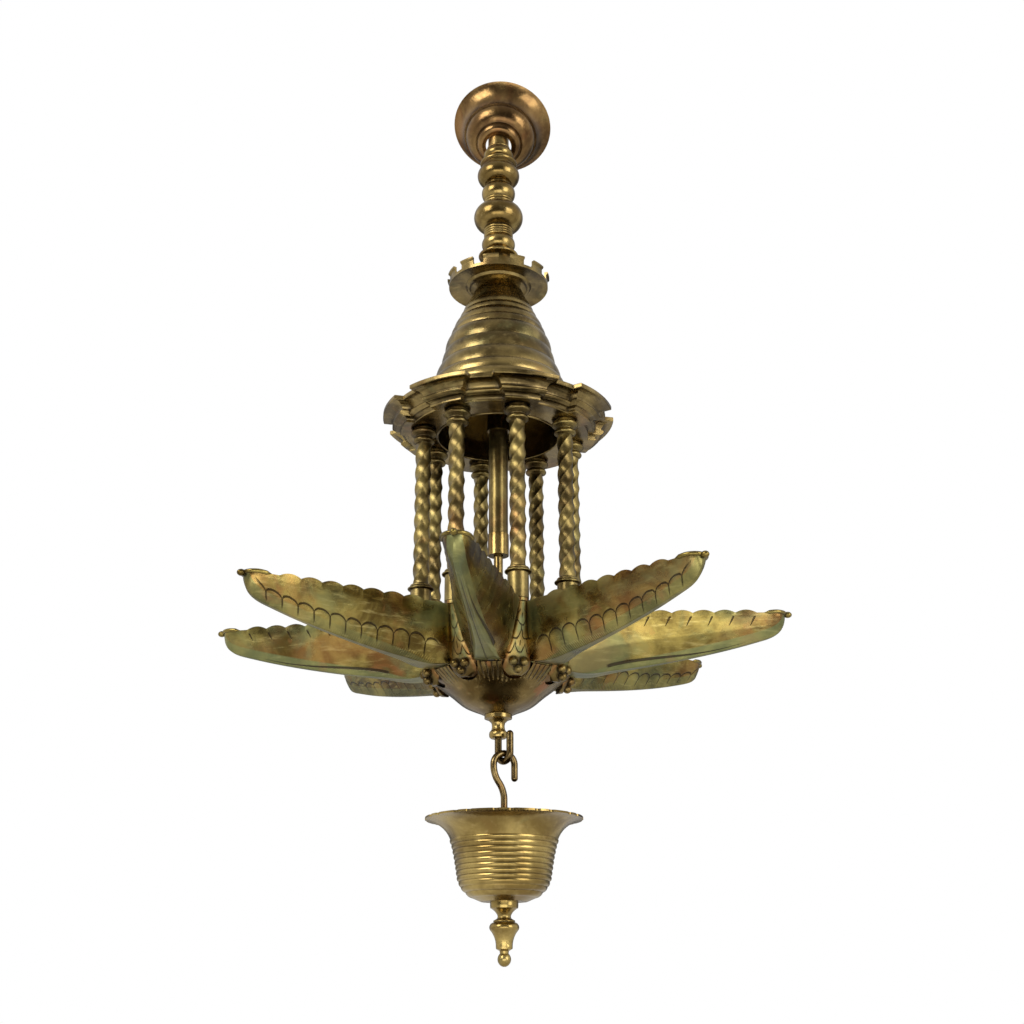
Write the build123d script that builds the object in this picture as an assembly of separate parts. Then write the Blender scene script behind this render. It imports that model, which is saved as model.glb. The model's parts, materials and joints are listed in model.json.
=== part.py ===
from build123d import *
import math
import os

os.makedirs("parts", exist_ok=True)

# A brass star lamp that hangs from an eye at its top. The origin is the eye's centre, +Z is up and
# the first leaf spout points along -Y. Lengths are in millimetres. Heights are built up from the
# plane of the spout tips, and the finished lamp is lowered to hang from the eye.

# Arms and fits
spout_count = 8
sector = 360 / spout_count
canopy_turn = -1.5            # degrees the columns and moulded ring sit off the spouts
join_gap = 0.15               # solder gap between sheet pieces
slant_share = 0.8             # of a wall's thickness, sideways on a bowl's slope
climb_share = 0.6             # and upwards
bore_clearance = 0.3          # turned pieces threaded on the tie rod
thread_clearance = 0.05
running_clearance = 0.05
free_gap = 0.3                # between pieces that move against each other
cut_overrun = 5.0

# Tie rod and nuts
rod_radius = 4.0
nut_radius = 7.5
nut_height = 5.0
washer_radius = 9.5
washer_height = 1.5

# Hanging eye
eye_bore_radius = 5.5
eye_radius = 11.0
eye_thickness = 8.0
eye_shank_radius = 6.5
eye_shank_length = 38.0
eye_thread_depth = 20.0

# Leaf spouts
spout_reach = 250.0           # lamp axis to the end of a nib
reservoir_radius = 58.0       # inner ends of spouts and corner leaves
spout_half_width = 27.0
spout_depth = 42.0
spout_edge_z = 5.2            # plain edge above the spout tips
spout_wall = 1.8
scallop_count = 7
scallop_start_share = 0.384   # along the reach
scallop_end_share = 0.880
scallop_rise = 2.6
lip_bead_radius = 1.7
nib_radius = 3.0
lip_setback = 5.8             # end of the nib to the lip's own centre line
lip_rise = 1.6
lip_round_share = 0.86        # half width and climb of the lip half way to its front
lip_climb_share = 0.70
# station along the reach, half width at the edge, half width and depth at mid height,
# keel half width, keel depth, as shares of reach, half width and depth
station_shares = [
    (0.180, 0.640, 0.560, 0.640, 0.500, 0.880),
    (0.232, 0.800, 0.660, 0.640, 0.500, 0.945),
    (0.300, 1.000, 0.720, 0.600, 0.350, 1.000),
    (0.400, 0.915, 0.610, 0.500, 0.185, 0.930),
    (0.520, 0.790, 0.510, 0.395, 0.110, 0.835),
    (0.660, 0.645, 0.415, 0.300, 0.085, 0.700),
    (0.800, 0.515, 0.340, 0.210, 0.075, 0.530),
    (0.900, 0.425, 0.290, 0.140, 0.068, 0.380),
    (0.950, 0.345, 0.240, 0.070, 0.060, 0.220),
    (0.970, 0.260, 0.190, 0.010, 0.052, 0.090),
]

# Corner leaves between the spouts
corner_reach = 82.0
corner_foot_reach = 62.5
corner_depth = 46.0
berry_radius = 3.3
berry_shares = [(0.30, 0.00, 0.20), (0.72, -1.30, 2.02), (0.72, 1.30, 2.02)]
corner_half_width = 10.5

# Columns
column_circle = 68.7
column_seat_z = 9.0
pedestal_radius = 8.9
pedestal_height = 21.8
column_height = 150.0
shaft_radius = 7.2
shaft_valley = 6.1
shaft_lobes = 4
twist_pitch = 60.0
capital_radius = 11.1
capital_height = 13.2
foot_ring_radius = 10.7
foot_ring_height = 6.0
tenon_radius = 2.5
seat_tenon = 3.0              # into the corner leaf's seat
column_nut_radius = 5.0
column_nut_height = 3.5
capital_shares = [(0.64, 0.00, None), (0.84, 0.10, None), (0.84, 0.30, 0.88), (0.72, 0.42, None),
                  (0.72, 0.50, 0.68), (0.93, 0.62, None), (1.00, 0.88, 1.05), (0.84, 0.90, None),
                  (0.84, 1.00, None)]
foot_ring_shares = [(0.86, 0.00, None), (1.00, 0.10, None), (1.00, 0.40, 1.06), (0.80, 0.50, None),
                    (0.80, 0.85, 0.86), (0.66, 1.00, None)]

# Moulded ring over the columns
ring_radius = 97.5
block_radius = 105.0
block_half_width = 28.5
moulding_depth = 20.5
ring_height = 19.2
soffit_radius = 54.3
soffit_bead = 2.0
soffit_bead_drop = 1.0
soffit_thickness = 2.2
ring_wall = 3.5
# top of each layer, set back of its edge, half width of its block, from the bottom up
layer_shares = [(0.16, 0.88, 0.46), (0.26, 1.00, 0.43), (0.36, 0.84, 0.47), (0.52, 0.60, 0.56),
                (0.62, 0.72, 0.53), (0.72, 0.58, 0.58), (0.82, 0.36, 0.68), (1.00, 0.00, 1.00)]

# Centre tube
tube_radius = 8.6
tube_wall = 1.2
tube_bottom_above_seat = 58.9
ferrule_radius = 9.3
ferrule_height = 19.5
tube_collar_radius = 10.1
tube_collar_height = 17.5
tube_collar_above_soffit = 6.0

# Dome
dome_height = 136.5
dome_foot_radius = 66.0
dome_flange_radius = 88.0
dome_flange_thickness = 2.0
dome_crown_radius = 20.5
dome_wall = 1.8
dome_rib = 1.5
dome_base_lap = 4.0           # base plate inside the dome's foot
# radius and height of each band's upper edge, from the foot up, and how far the band rounds out
dome_band_shares = [(0.975, 0.095, 1.0), (0.940, 0.176, 1.0), (0.884, 0.256, 1.0), (0.800, 0.366, 0.9),
                    (0.748, 0.469, 0.6), (0.675, 0.586, 1.1), (0.634, 0.645, 0.5), (0.558, 0.718, 0.7),
                    (0.512, 0.769, 0.5), (0.425, 0.857, 0.7)]

# Gallery cup
gallery_radius = 46.8
gallery_lip_radius = 48.4
gallery_height = 10.3
gallery_floor = 2.2
gallery_wall = 1.8
gallery_skirt_radius = 29.3
gallery_drop = 2.0
merlon_count = 12
merlon_phase = -1.2
merlon_height = 7.4
merlon_gap_width = 10.4
merlon_lip_height = 1.6

# Turned stem, from the gallery up: radius, height and outline shares of each piece
stem_foot_radius = 24.0
stem_foot_height = 37.0
stem_foot_shares = [(1.00, 0.00, None), (1.00, 0.08, None), (0.66, 0.40, 0.70), (0.58, 0.72, None),
                    (0.76, 0.78, None), (0.76, 0.86, 0.79), (0.60, 0.92, None), (0.52, 1.00, None)]
lower_knop_radius = 15.9
lower_knop_height = 13.0
lower_knop_shares = [(0.82, 0.00, None), (0.80, 1.00, 1.00)]
large_knop_radius = 23.6
large_knop_height = 40.0
large_knop_shares = [(0.54, 0.00, None), (0.52, 0.06, 0.59), (0.52, 0.12, 0.59), (0.52, 0.18, 0.59),
                     (0.54, 0.25, 0.60), (0.52, 0.91, 1.00), (0.52, 1.00, 0.60)]
middle_knop_radius = 16.2
middle_knop_height = 21.0
middle_knop_shares = [(0.80, 0.00, None), (0.78, 0.12, 0.86), (0.80, 0.85, 1.00), (0.78, 1.00, None)]
upper_knop_radius = 20.4
upper_knop_height = 28.0
upper_knop_shares = [(0.66, 0.00, None), (0.82, 0.62, 1.00), (0.78, 0.74, None), (0.86, 0.78, None),
                     (0.86, 0.88, 0.88), (0.68, 0.92, None), (0.62, 1.00, None)]
neck_radius = 14.5
neck_height = 25.3
neck_bead_share = 0.22        # height of the bead that carries the ceiling rose
neck_shares = [(0.76, 0.00, None), (0.70, 0.42, 1.00), (0.70, 0.46, None), (0.70, 0.56, 0.77),
               (0.70, 1.00, None)]

# Ceiling rose
rose_mouth_radius = 12.6
rose_ring_radius = 22.4
rose_ridge_radius = 36.2
rose_rim_radius = 48.8
rose_height = 41.2
rose_wall = 1.6
rose_ring_share = 0.10        # heights along the rose's own axis
rose_ridge_share = 0.475
rose_ridge_width = 1.6
rose_lean = 28.5              # degrees from upright
rose_lean_azimuth = 176.0
rose_pivot_rise = 11.3        # rose's mouth above the neck bead
rose_offset = 0.3             # mouth sits off the stem towards its lean

# Reservoir and calyx
bowl_depth = 73.5             # spout tips down to the calyx's flat bottom
calyx_rim_radius = 60.5
calyx_rim_z = -41.5
calyx_floor_radius = 12.5
calyx_wall = 1.6
reservoir_wall = 1.6
calyx_dip_radius = 14.0
calyx_dip_z = -38.5
# radius and height between floor and rim
calyx_shares = [(0.30, 0.08), (0.48, 0.23), (0.66, 0.50), (0.86, 0.78)]

# Socket and pan hook
socket_radius = 11.7
socket_height = 20.0
socket_floor = 2.0
socket_shares = [(0.52, 0.00, None), (0.63, 0.05, None), (0.63, 0.27, 0.66), (0.50, 0.36, None),
                 (0.50, 0.66, 0.46), (0.72, 0.78, None), (1.00, 0.84, None), (1.00, 1.00, None)]
socket_thread_depth = 9.0
hook_head_radius = 3.8
hook_head_height = 3.0
hook_journal_radius = 2.7
pan_hook_azimuth = 51.0
pan_hook_wire = 3.0
pan_hook_bend = 7.0
pan_hook_drop = 12.6          # socket down to the start of the bend
pan_hook_tip = 15.0           # tip above the start of the bend

# Bowl hook
bowl_hook_azimuth = 27.25     # it crosses the pan hook's bend a little askew
bowl_hook_gap = 0.6           # crook over the pan hook's wire
bowl_hook_wire = 2.8
bowl_hook_bend = 9.2
bowl_hook_tip = 11.0
bowl_hook_straight = 1.0
bowl_hook_sway = 36.5         # degrees of each arc of its S
bowl_hook_above_rim = 14.8    # S to the drip bowl's rim

# Drip bowl and finial
drip_rim_radius = 64.8
drip_height = 66.0
drip_throat_radius = 44.5
drip_floor_radius = 19.0
drip_wall = 1.6
drip_ring_count = 11
drip_ring_rise = 0.9
drip_ring_start_share = 0.045
drip_ring_end_share = 0.74
drip_lobe_count = 12
drip_nick_radius = 3.0
drip_wide_lobe = 19.0         # degrees, the narrow lobe takes the rest of a twelfth
drip_first_nick = 12.0
# radius as a share of the throat, height as a share of the bowl
drip_shares = [(0.62, 0.055), (0.78, 0.160), (0.84, 0.260), (0.872, 0.400), (0.905, 0.530),
               (0.945, 0.650), (1.000, 0.760), (1.080, 0.860)]
finial_radius = 11.6
finial_height = 49.5
finial_shares = [(0.10, 0.00, None), (0.30, 0.20, 0.46), (0.32, 0.24, None), (0.56, 0.27, None),
                 (0.58, 0.30, None), (0.98, 0.56, 0.66), (0.70, 0.68, 1.02), (0.72, 0.71, 0.76),
                 (0.50, 0.74, None), (0.50, 0.80, 0.46), (0.96, 0.90, 0.66), (0.98, 0.94, None),
                 (0.98, 1.00, None)]
finial_thread_depth = 14.0
hook_nut_radius = 6.0
hook_nut_height = 4.0

# Heights that follow from the sizes above
pedestal_top_z = column_seat_z + pedestal_height
soffit_z = pedestal_top_z + column_height
ring_top_z = soffit_z + ring_height
crown_z = ring_top_z + dome_height
gallery_floor_z = crown_z + gallery_floor
foot_z = gallery_floor_z
lower_knop_z = foot_z + stem_foot_height
large_knop_z = lower_knop_z + lower_knop_height
middle_knop_z = large_knop_z + large_knop_height
upper_knop_z = middle_knop_z + middle_knop_height
neck_z = upper_knop_z + upper_knop_height
neck_top_z = neck_z + neck_height
eye_z = neck_top_z + eye_shank_length + eye_radius
rose_pivot_z = neck_z + neck_height * neck_bead_share + rose_pivot_rise
calyx_floor_z = -bowl_depth
reservoir_floor_z = calyx_floor_z + calyx_wall + join_gap + reservoir_wall
socket_z = calyx_floor_z - socket_height
bend_z = socket_z - pan_hook_drop
arch_z = bend_z - pan_hook_bend + pan_hook_wire + bowl_hook_gap + bowl_hook_wire - bowl_hook_bend
sway_radius = bowl_hook_bend / (2 * (1 - math.cos(math.radians(bowl_hook_sway))))
sway_drop = 2 * sway_radius * math.sin(math.radians(bowl_hook_sway))
drip_rim_z = arch_z - bowl_hook_straight - sway_drop - bowl_hook_above_rim
drip_floor_z = drip_rim_z - drip_height
finial_z = drip_floor_z - finial_height
rod_bottom_z = calyx_floor_z - socket_thread_depth
rod_top_z = neck_top_z + eye_thread_depth


def at_azimuth(shape, azimuth):
    """Turn a shape made in the -Y half plane to its azimuth, counted from -Y towards +X."""
    return Rot(0, 0, azimuth) * shape


def outline_edges(points):
    """Edges through rows of (radius, height, bulge radius or None) in the XZ half plane."""
    edges = []
    for start, end in zip(points, points[1:]):
        first = (start[0], 0, start[1])
        last = (end[0], 0, end[1])
        if end[2] is None:
            edges.append(Line(first, last))
        else:
            middle = (end[2], 0, (start[1] + end[1]) / 2)
            edges.append(ThreePointArc(first, middle, last))
    return edges


def turned(radius, height, bore, shares, bottom):
    """A turned piece: its outline rows are shares of its radius and height."""
    rows = [(bore, bottom, None)]
    for radius_share, height_share, bulge_share in shares:
        bulge = None if bulge_share is None else radius * bulge_share
        rows.append((radius * radius_share, bottom + height * height_share, bulge))
    rows.append((bore, rows[-1][1], None))
    rows.append(rows[0])
    return revolve(make_face(outline_edges(rows)), Axis.Z)


def tube(outer, inner, bottom, top):
    """A plain ring between two heights."""
    rows = [(inner, bottom, None), (outer, bottom, None), (outer, top, None), (inner, top, None),
            (inner, bottom, None)]
    return revolve(make_face(outline_edges(rows)), Axis.Z)


def rod(radius, bottom, top):
    """A plain round bar on the axis."""
    return Pos(0, 0, bottom) * Cylinder(radius, top - bottom, align=(Align.CENTER, Align.CENTER, Align.MIN))


def smooth_shell(outer, wall, rim_top, floor_bore):
    """A turned bowl: a curve through (radius, height) points from the floor up, with a wall inside it."""
    inner = [(outer[0][0], outer[0][1] + wall)]
    for radius, height in outer[1:-1]:
        inner.append((radius - wall * slant_share, height + wall * climb_share))
    inner.append((outer[-1][0] - wall, rim_top))
    outer_curve = Spline([(radius, 0, height) for radius, height in outer])
    inner_curve = Spline([(radius, 0, height) for radius, height in inner])
    edges = [outer_curve, inner_curve]
    edges.append(Line((outer[-1][0], 0, outer[-1][1]), (inner[-1][0], 0, inner[-1][1])))
    edges.append(Line((outer[0][0], 0, outer[0][1]), (floor_bore, 0, outer[0][1])))
    edges.append(Line((floor_bore, 0, outer[0][1]), (floor_bore, 0, outer[0][1] + wall)))
    edges.append(Line((floor_bore, 0, outer[0][1] + wall), (inner[0][0], 0, inner[0][1])))
    return revolve(make_face(edges), Axis.Z)


def nut(radius, height, bore, bottom):
    """A hexagonal nut on the axis."""
    body = extrude(Pos(0, 0, bottom) * RegularPolygon(radius, 6), height)
    return body - rod(bore, bottom - cut_overrun, bottom + height + cut_overrun)


# Leaf spouts

def spout_section(shares, grow):
    """One cross section of a spout's hull, moved outwards by grow (inwards where it is negative)."""
    along, edge, mid, mid_drop, keel, keel_drop = shares
    x = spout_reach * along
    top = spout_edge_z + scallop_rise + cut_overrun
    half_edge = spout_half_width * edge + grow
    half_mid = spout_half_width * mid + grow
    half_keel = spout_half_width * keel + grow * 0.5
    mid_z = -spout_depth * mid_drop
    keel_z = -spout_depth * keel_drop - grow
    left = ThreePointArc((x, -half_edge, spout_edge_z), (x, -half_mid, mid_z), (x, -half_keel, keel_z))
    right = ThreePointArc((x, half_keel, keel_z), (x, half_mid, mid_z), (x, half_edge, spout_edge_z))
    bottom = Line((x, -half_keel, keel_z), (x, half_keel, keel_z))
    rise = [Line((x, half_edge, spout_edge_z), (x, half_edge, top)),
            Line((x, half_edge, top), (x, -half_edge, top)),
            Line((x, -half_edge, top), (x, -half_edge, spout_edge_z))]
    return make_face([left, bottom, right] + rise)


def spout_hull(grow, end_shift):
    """The closed hull of a spout along +X; end_shift pulls the nose back for the hollow."""
    sections = []
    for index, shares in enumerate(station_shares):
        section = spout_section(shares, grow)
        if index == len(station_shares) - 1:
            section = Pos(end_shift, 0, 0) * section
        sections.append(section)
    return loft(sections)


def spout_edge_cutter():
    """Everything above the scalloped edge of a spout."""
    start = spout_reach * scallop_start_share
    end = spout_reach * scallop_end_share
    chord = (end - start) / scallop_count
    back = 0
    top = spout_edge_z + scallop_rise + 3 * cut_overrun
    edges = [Line((back, 0, spout_edge_z), (start, 0, spout_edge_z))]
    for index in range(scallop_count):
        left = start + chord * index
        edges.append(ThreePointArc((left, 0, spout_edge_z),
                                   (left + chord / 2, 0, spout_edge_z + scallop_rise),
                                   (left + chord, 0, spout_edge_z)))
    far = spout_reach + cut_overrun
    edges.append(Line((end, 0, spout_edge_z), (far, 0, spout_edge_z)))
    edges.append(Line((far, 0, spout_edge_z), (far, 0, top)))
    edges.append(Line((far, 0, top), (back, 0, top)))
    edges.append(Line((back, 0, top), (back, 0, spout_edge_z)))
    return extrude(make_face(edges), amount=2 * spout_half_width, both=True)


def spout_lip():
    """The rolled bead round a spout's mouth and the nib at its front."""
    wide = station_shares[-3]
    front = spout_reach - lip_setback
    back = spout_reach * wide[0]
    half = spout_half_width * wide[1]
    z = spout_edge_z
    middle = (back + front) / 2
    side = half * lip_round_share
    climb = z + lip_rise * lip_climb_share
    path = Spline([(back, -half, z), (middle, -side, climb), (front, 0, z + lip_rise - lip_bead_radius),
                   (middle, side, climb), (back, half, z)])
    bead = sweep(Plane(origin=path @ 0, z_dir=path % 0) * Circle(lip_bead_radius), path=path)
    nib = Pos(spout_reach - nib_radius, 0, z - nib_radius) * Sphere(nib_radius)
    return bead, nib


def leaf_spout():
    """A leaf-shaped trough with a scalloped edge, along -Y."""
    hull = spout_hull(0, 0)
    hollow = spout_hull(-spout_wall, -spout_wall)
    trough = hull - hollow - spout_edge_cutter()
    bead, nib = spout_lip()
    trough = trough + bead + nib
    floor = -spout_depth - cut_overrun
    trough = trough - rod(reservoir_radius, floor, spout_edge_z + 3 * cut_overrun)
    return Rot(0, 0, -90) * trough


# Corner leaves

def corner_leaf():
    """The cast leaf between two spouts, with its column seat and berries, along -Y."""
    top = column_seat_z
    side = spout_edge_z + join_gap
    rows = [(reservoir_radius, -corner_depth), (corner_foot_reach, -corner_depth),
            (corner_reach, side), (reservoir_radius, side)]
    wedge = extrude(make_face(Polyline([(x, 0, z) for x, z in rows], close=True)),
                    amount=corner_half_width, both=True)
    for turn in (-sector / 2, sector / 2):
        wedge = wedge - Rot(0, 0, turn) * spout_hull(join_gap, join_gap)
    seat = Rot(0, 0, canopy_turn) * Pos(column_circle, 0, 0)
    leaf = wedge + seat * rod(pedestal_radius, side, top)
    for out_share, across_share, up_share in berry_shares:
        spot = (corner_foot_reach + berry_radius * out_share, berry_radius * across_share,
                berry_radius * up_share - corner_depth)
        leaf = leaf + Pos(*spot) * Sphere(berry_radius)
    hole = seat * rod(tenon_radius + thread_clearance, top - seat_tenon - join_gap, top + cut_overrun)
    leaf = leaf - hole - rod(reservoir_radius, -corner_depth - 2 * cut_overrun, top + cut_overrun)
    return Rot(0, 0, -90) * leaf


# Columns

def pedestal():
    """The plain round pedestal under a column."""
    outer = rod(pedestal_radius, column_seat_z, pedestal_top_z)
    return outer - rod(tenon_radius + thread_clearance, column_seat_z - cut_overrun,
                       pedestal_top_z + cut_overrun)


def twisted_shaft(bottom, top):
    """A shaft of convex lobes between thin raised ridges that climb round it."""
    edges = []
    step = 360 / shaft_lobes
    for index in range(shaft_lobes):
        start = math.radians(step * index)
        end = math.radians(step * (index + 1))
        middle = (start + end) / 2
        edges.append(ThreePointArc((shaft_radius * math.cos(start), shaft_radius * math.sin(start)),
                                   (shaft_valley * math.cos(middle), shaft_valley * math.sin(middle)),
                                   (shaft_radius * math.cos(end), shaft_radius * math.sin(end))))
    length = top - bottom
    path = Line((0, 0, 0), (0, 0, length))
    guide = Helix(pitch=twist_pitch, height=length, radius=2 * shaft_radius)
    return Pos(0, 0, bottom) * sweep(make_face(edges), path=path, binormal=guide)


def column():
    """A twisted column with its capital, base ring and the tenons that hold it."""
    capital_z = soffit_z - capital_height
    shaft_z = pedestal_top_z + foot_ring_height
    overlap = foot_ring_height / 6
    body = twisted_shaft(shaft_z - overlap, capital_z + overlap)
    body = body + turned(capital_radius, capital_height, 0, capital_shares, capital_z)
    body = body + turned(foot_ring_radius, foot_ring_height, 0, foot_ring_shares, pedestal_top_z)
    tenon_top = soffit_z + soffit_thickness + column_nut_height + thread_clearance
    body = body + rod(tenon_radius, column_seat_z - seat_tenon, pedestal_top_z)
    return body + rod(tenon_radius, soffit_z, tenon_top)


def column_nuts():
    """The nuts that hold the columns' tenons inside the moulded ring."""
    one = nut(column_nut_radius, column_nut_height, tenon_radius + thread_clearance,
              soffit_z + soffit_thickness)
    return [at_column(one, index) for index in range(spout_count)]


def at_column(shape, index):
    """Move a shape from the axis to its column's place."""
    azimuth = sector * (index + 0.5) + canopy_turn
    return Rot(0, 0, azimuth) * Pos(0, -column_circle, 0) * shape


# Moulded ring

def ring_plan(set_back, half_width):
    """The plan of the ring with its eight blocks, edge moved in by set_back."""
    plan = Circle(ring_radius - set_back)
    blocks = Circle(block_radius - set_back)
    strips = Sketch()
    for index in range(spout_count):
        strips = strips + Rot(0, 0, sector * (index + 0.5) + canopy_turn) * Pos(0, -block_radius / 2) * Rectangle(
            2 * half_width, block_radius)
    return plan + (blocks & strips)


def moulded_ring():
    """The ring on top of the columns: stacked mouldings that break forward over each column."""
    body = None
    bottom = soffit_z
    for height_share, set_back_share, width_share in layer_shares:
        top = soffit_z + ring_height * height_share
        plan = ring_plan(moulding_depth * set_back_share, block_half_width * width_share)
        layer = extrude(Pos(0, 0, bottom) * plan, top - bottom)
        body = layer if body is None else body + layer
        bottom = top
    low = soffit_z - cut_overrun
    high = ring_top_z + cut_overrun
    body = body - rod(soffit_radius, low, high)
    cavity_outer = ring_radius - moulding_depth - ring_wall
    cavity_inner = soffit_radius + ring_wall
    body = body - tube(cavity_outer, cavity_inner, soffit_z + soffit_thickness, high)
    body = body + tube(soffit_radius + soffit_bead, soffit_radius, soffit_z - soffit_bead_drop, soffit_z)
    hole = rod(tenon_radius + thread_clearance, low, soffit_z + soffit_thickness + cut_overrun)
    for index in range(spout_count):
        body = body - at_column(hole, index)
    return body


# Dome, gallery and centre tube

def dome_base():
    """The flat plate under the dome, over the moulded ring's hollow."""
    return tube(dome_flange_radius, dome_foot_radius - dome_base_lap, ring_top_z,
                ring_top_z + dome_flange_thickness)


def dome():
    """A beehive dome of rounded bands with a groove between each two."""
    foot = ring_top_z + dome_flange_thickness + join_gap
    top = crown_z
    rows = [(dome_foot_radius, foot, None)]
    inner = [(dome_foot_radius - dome_wall - dome_rib / 2, foot)]
    low_radius = dome_foot_radius
    for radius_share, height_share, round_share in dome_band_shares:
        radius = dome_foot_radius * radius_share
        height = ring_top_z + dome_height * height_share
        rows.append((radius, height, (low_radius + radius) / 2 + dome_rib * round_share))
        inner.append((radius - dome_wall - dome_rib / 2, height))
        low_radius = radius
    rows.append((dome_crown_radius, top - dome_wall, None))
    rows.append((dome_crown_radius, top, None))
    rows.append((0, top, None))
    inner.append((dome_crown_radius - dome_wall, top - dome_wall))
    edges = outline_edges(rows)
    edges.append(Line((0, 0, top), (0, 0, top - dome_wall)))
    edges.append(Line((0, 0, top - dome_wall), (inner[-1][0], 0, top - dome_wall)))
    edges.append(Spline([(radius, 0, height) for radius, height in inner]))
    edges.append(Line((inner[0][0], 0, foot), (dome_foot_radius, 0, foot)))
    body = revolve(make_face(edges), Axis.Z)
    return body - rod(rod_radius + bore_clearance, top - 2 * cut_overrun, top + cut_overrun)


def gallery_cup():
    """A shallow cup with a bell-mouthed skirt over the dome and a crenellated wall."""
    wall_z = crown_z - gallery_drop
    top = wall_z + gallery_height
    floor_top = gallery_floor_z
    skirt = gallery_skirt_radius
    rows = [(dome_crown_radius + gallery_wall, crown_z, None),
            (skirt - gallery_wall, wall_z, skirt - 1.6 * gallery_wall),
            (skirt, wall_z, None),
            (skirt + gallery_wall, wall_z + gallery_drop, None),
            (gallery_radius, wall_z, gallery_radius - 2.6 * gallery_wall),
            (gallery_radius, top - 2 * merlon_lip_height, None),
            (gallery_lip_radius, top - merlon_lip_height, None),
            (gallery_lip_radius, top, None),
            (gallery_radius - gallery_wall, top, None),
            (gallery_radius - gallery_wall, floor_top + gallery_floor, None),
            (gallery_radius - 2 * gallery_wall, floor_top, None),
            (0, floor_top, None), (0, crown_z, None),
            (dome_crown_radius + gallery_wall, crown_z, None)]
    body = revolve(make_face(outline_edges(rows)), Axis.Z)
    pitch = 360 / merlon_count
    reach = gallery_lip_radius + cut_overrun
    for index in range(merlon_count):
        notch = Pos(0, -reach, top - merlon_height) * Box(
            merlon_gap_width, reach - gallery_radius + 3 * gallery_wall + cut_overrun, merlon_height + cut_overrun,
            align=(Align.CENTER, Align.MIN, Align.MIN))
        body = body - at_azimuth(notch, merlon_phase + pitch * (index + 0.5))
    return body - rod(rod_radius + bore_clearance, crown_z - cut_overrun, floor_top + cut_overrun)


def centre_tube():
    """The tube round the tie rod, from the dome's crown down between the columns."""
    bottom = column_seat_z + tube_bottom_above_seat
    rod_nut_z = crown_z - dome_wall - washer_height - nut_height
    outer = rod(tube_radius, bottom, rod_nut_z)
    return outer - rod(rod_radius + bore_clearance, bottom - cut_overrun, rod_nut_z + cut_overrun)


def tube_ferrule():
    """The bright sleeve at the lower end of the centre tube."""
    bottom = column_seat_z + tube_bottom_above_seat
    return tube(ferrule_radius, tube_radius + thread_clearance, bottom, bottom + ferrule_height)


def tube_collar():
    """The sleeve on the centre tube at the moulded ring."""
    bottom = soffit_z + tube_collar_above_soffit
    return tube(tube_collar_radius, tube_radius + thread_clearance, bottom, bottom + tube_collar_height)


# Stem, eye and rod

def hanging_eye():
    """The drilled eye with the shank that screws down on the rod, bore across the rose's lean."""
    lean = math.radians(rose_lean_azimuth)
    across = (math.cos(lean), math.sin(lean), 0)
    bore_line = Plane(origin=(0, 0, eye_z), z_dir=across)
    ring = extrude(bore_line * Circle(eye_radius), amount=eye_thickness / 2, both=True)
    shank = rod(eye_shank_radius, neck_top_z, eye_z - (eye_radius + eye_bore_radius) / 2)
    body = ring + shank
    body = body - extrude(bore_line * Circle(eye_bore_radius), amount=eye_thickness, both=True)
    return body - rod(rod_radius + thread_clearance, neck_top_z - cut_overrun, rod_top_z)


def tie_rod():
    """The rod that carries the whole lamp, from the eye down to the socket."""
    return rod(rod_radius, rod_bottom_z, rod_top_z)


def rod_nuts():
    """The nut and washer under the dome's crown, and those inside the reservoir."""
    bore = rod_radius + thread_clearance
    upper = crown_z - dome_wall
    pieces = [tube(washer_radius, bore, upper - washer_height, upper),
              nut(nut_radius, nut_height, bore, upper - washer_height - nut_height)]
    lower = reservoir_floor_z
    pieces.append(tube(washer_radius, bore, lower, lower + washer_height))
    pieces.append(nut(nut_radius, nut_height, bore, lower + washer_height))
    return pieces


# Ceiling rose

def ceiling_rose():
    """The bell-shaped ceiling rose, leaning on the neck bead."""
    ring_z = rose_height * rose_ring_share
    ridge_z = rose_height * rose_ridge_share
    mouth = rose_mouth_radius + rose_wall
    rows = [(rose_mouth_radius, 0, None), (mouth, 0, None),
            (rose_ring_radius - rose_wall / 2, ring_z, rose_ring_radius - 1.2 * rose_wall),
            (rose_ring_radius + rose_wall / 2, ring_z, None),
            (rose_ring_radius + rose_wall / 2, ring_z + rose_wall, None),
            (rose_ridge_radius - rose_ridge_width, ridge_z, rose_ridge_radius - 2.4 * rose_ridge_width),
            (rose_ridge_radius, ridge_z, None),
            (rose_ridge_radius, ridge_z + rose_ridge_width, None),
            (rose_rim_radius, rose_height, rose_ridge_radius + 1.6 * rose_ridge_width),
            (rose_rim_radius - rose_wall, rose_height, None),
            (rose_ridge_radius - 2 * rose_wall, ridge_z + rose_ridge_width, rose_ridge_radius),
            (rose_ring_radius - rose_wall, ring_z + 2 * rose_wall, rose_ridge_radius - 4.6 * rose_wall),
            (rose_mouth_radius, 0, rose_ring_radius - 3 * rose_wall)]
    body = revolve(make_face(outline_edges(rows)), Axis.Z)
    lean = math.radians(rose_lean_azimuth)
    shift = (rose_offset * math.sin(lean), -rose_offset * math.cos(lean), rose_pivot_z)
    return Pos(*shift) * Rot(0, 0, rose_lean_azimuth) * Rot(rose_lean, 0, 0) * body


# Reservoir, calyx and socket

def bowl_points(inset):
    """The calyx outline from its floor to its rim, moved inwards by inset."""
    rise = calyx_rim_z - calyx_floor_z
    points = [(calyx_floor_radius, calyx_floor_z + inset)]
    for radius_share, height_share in calyx_shares:
        points.append((calyx_rim_radius * radius_share - inset * slant_share,
                       calyx_floor_z + rise * height_share + inset * slant_share))
    return points


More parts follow.
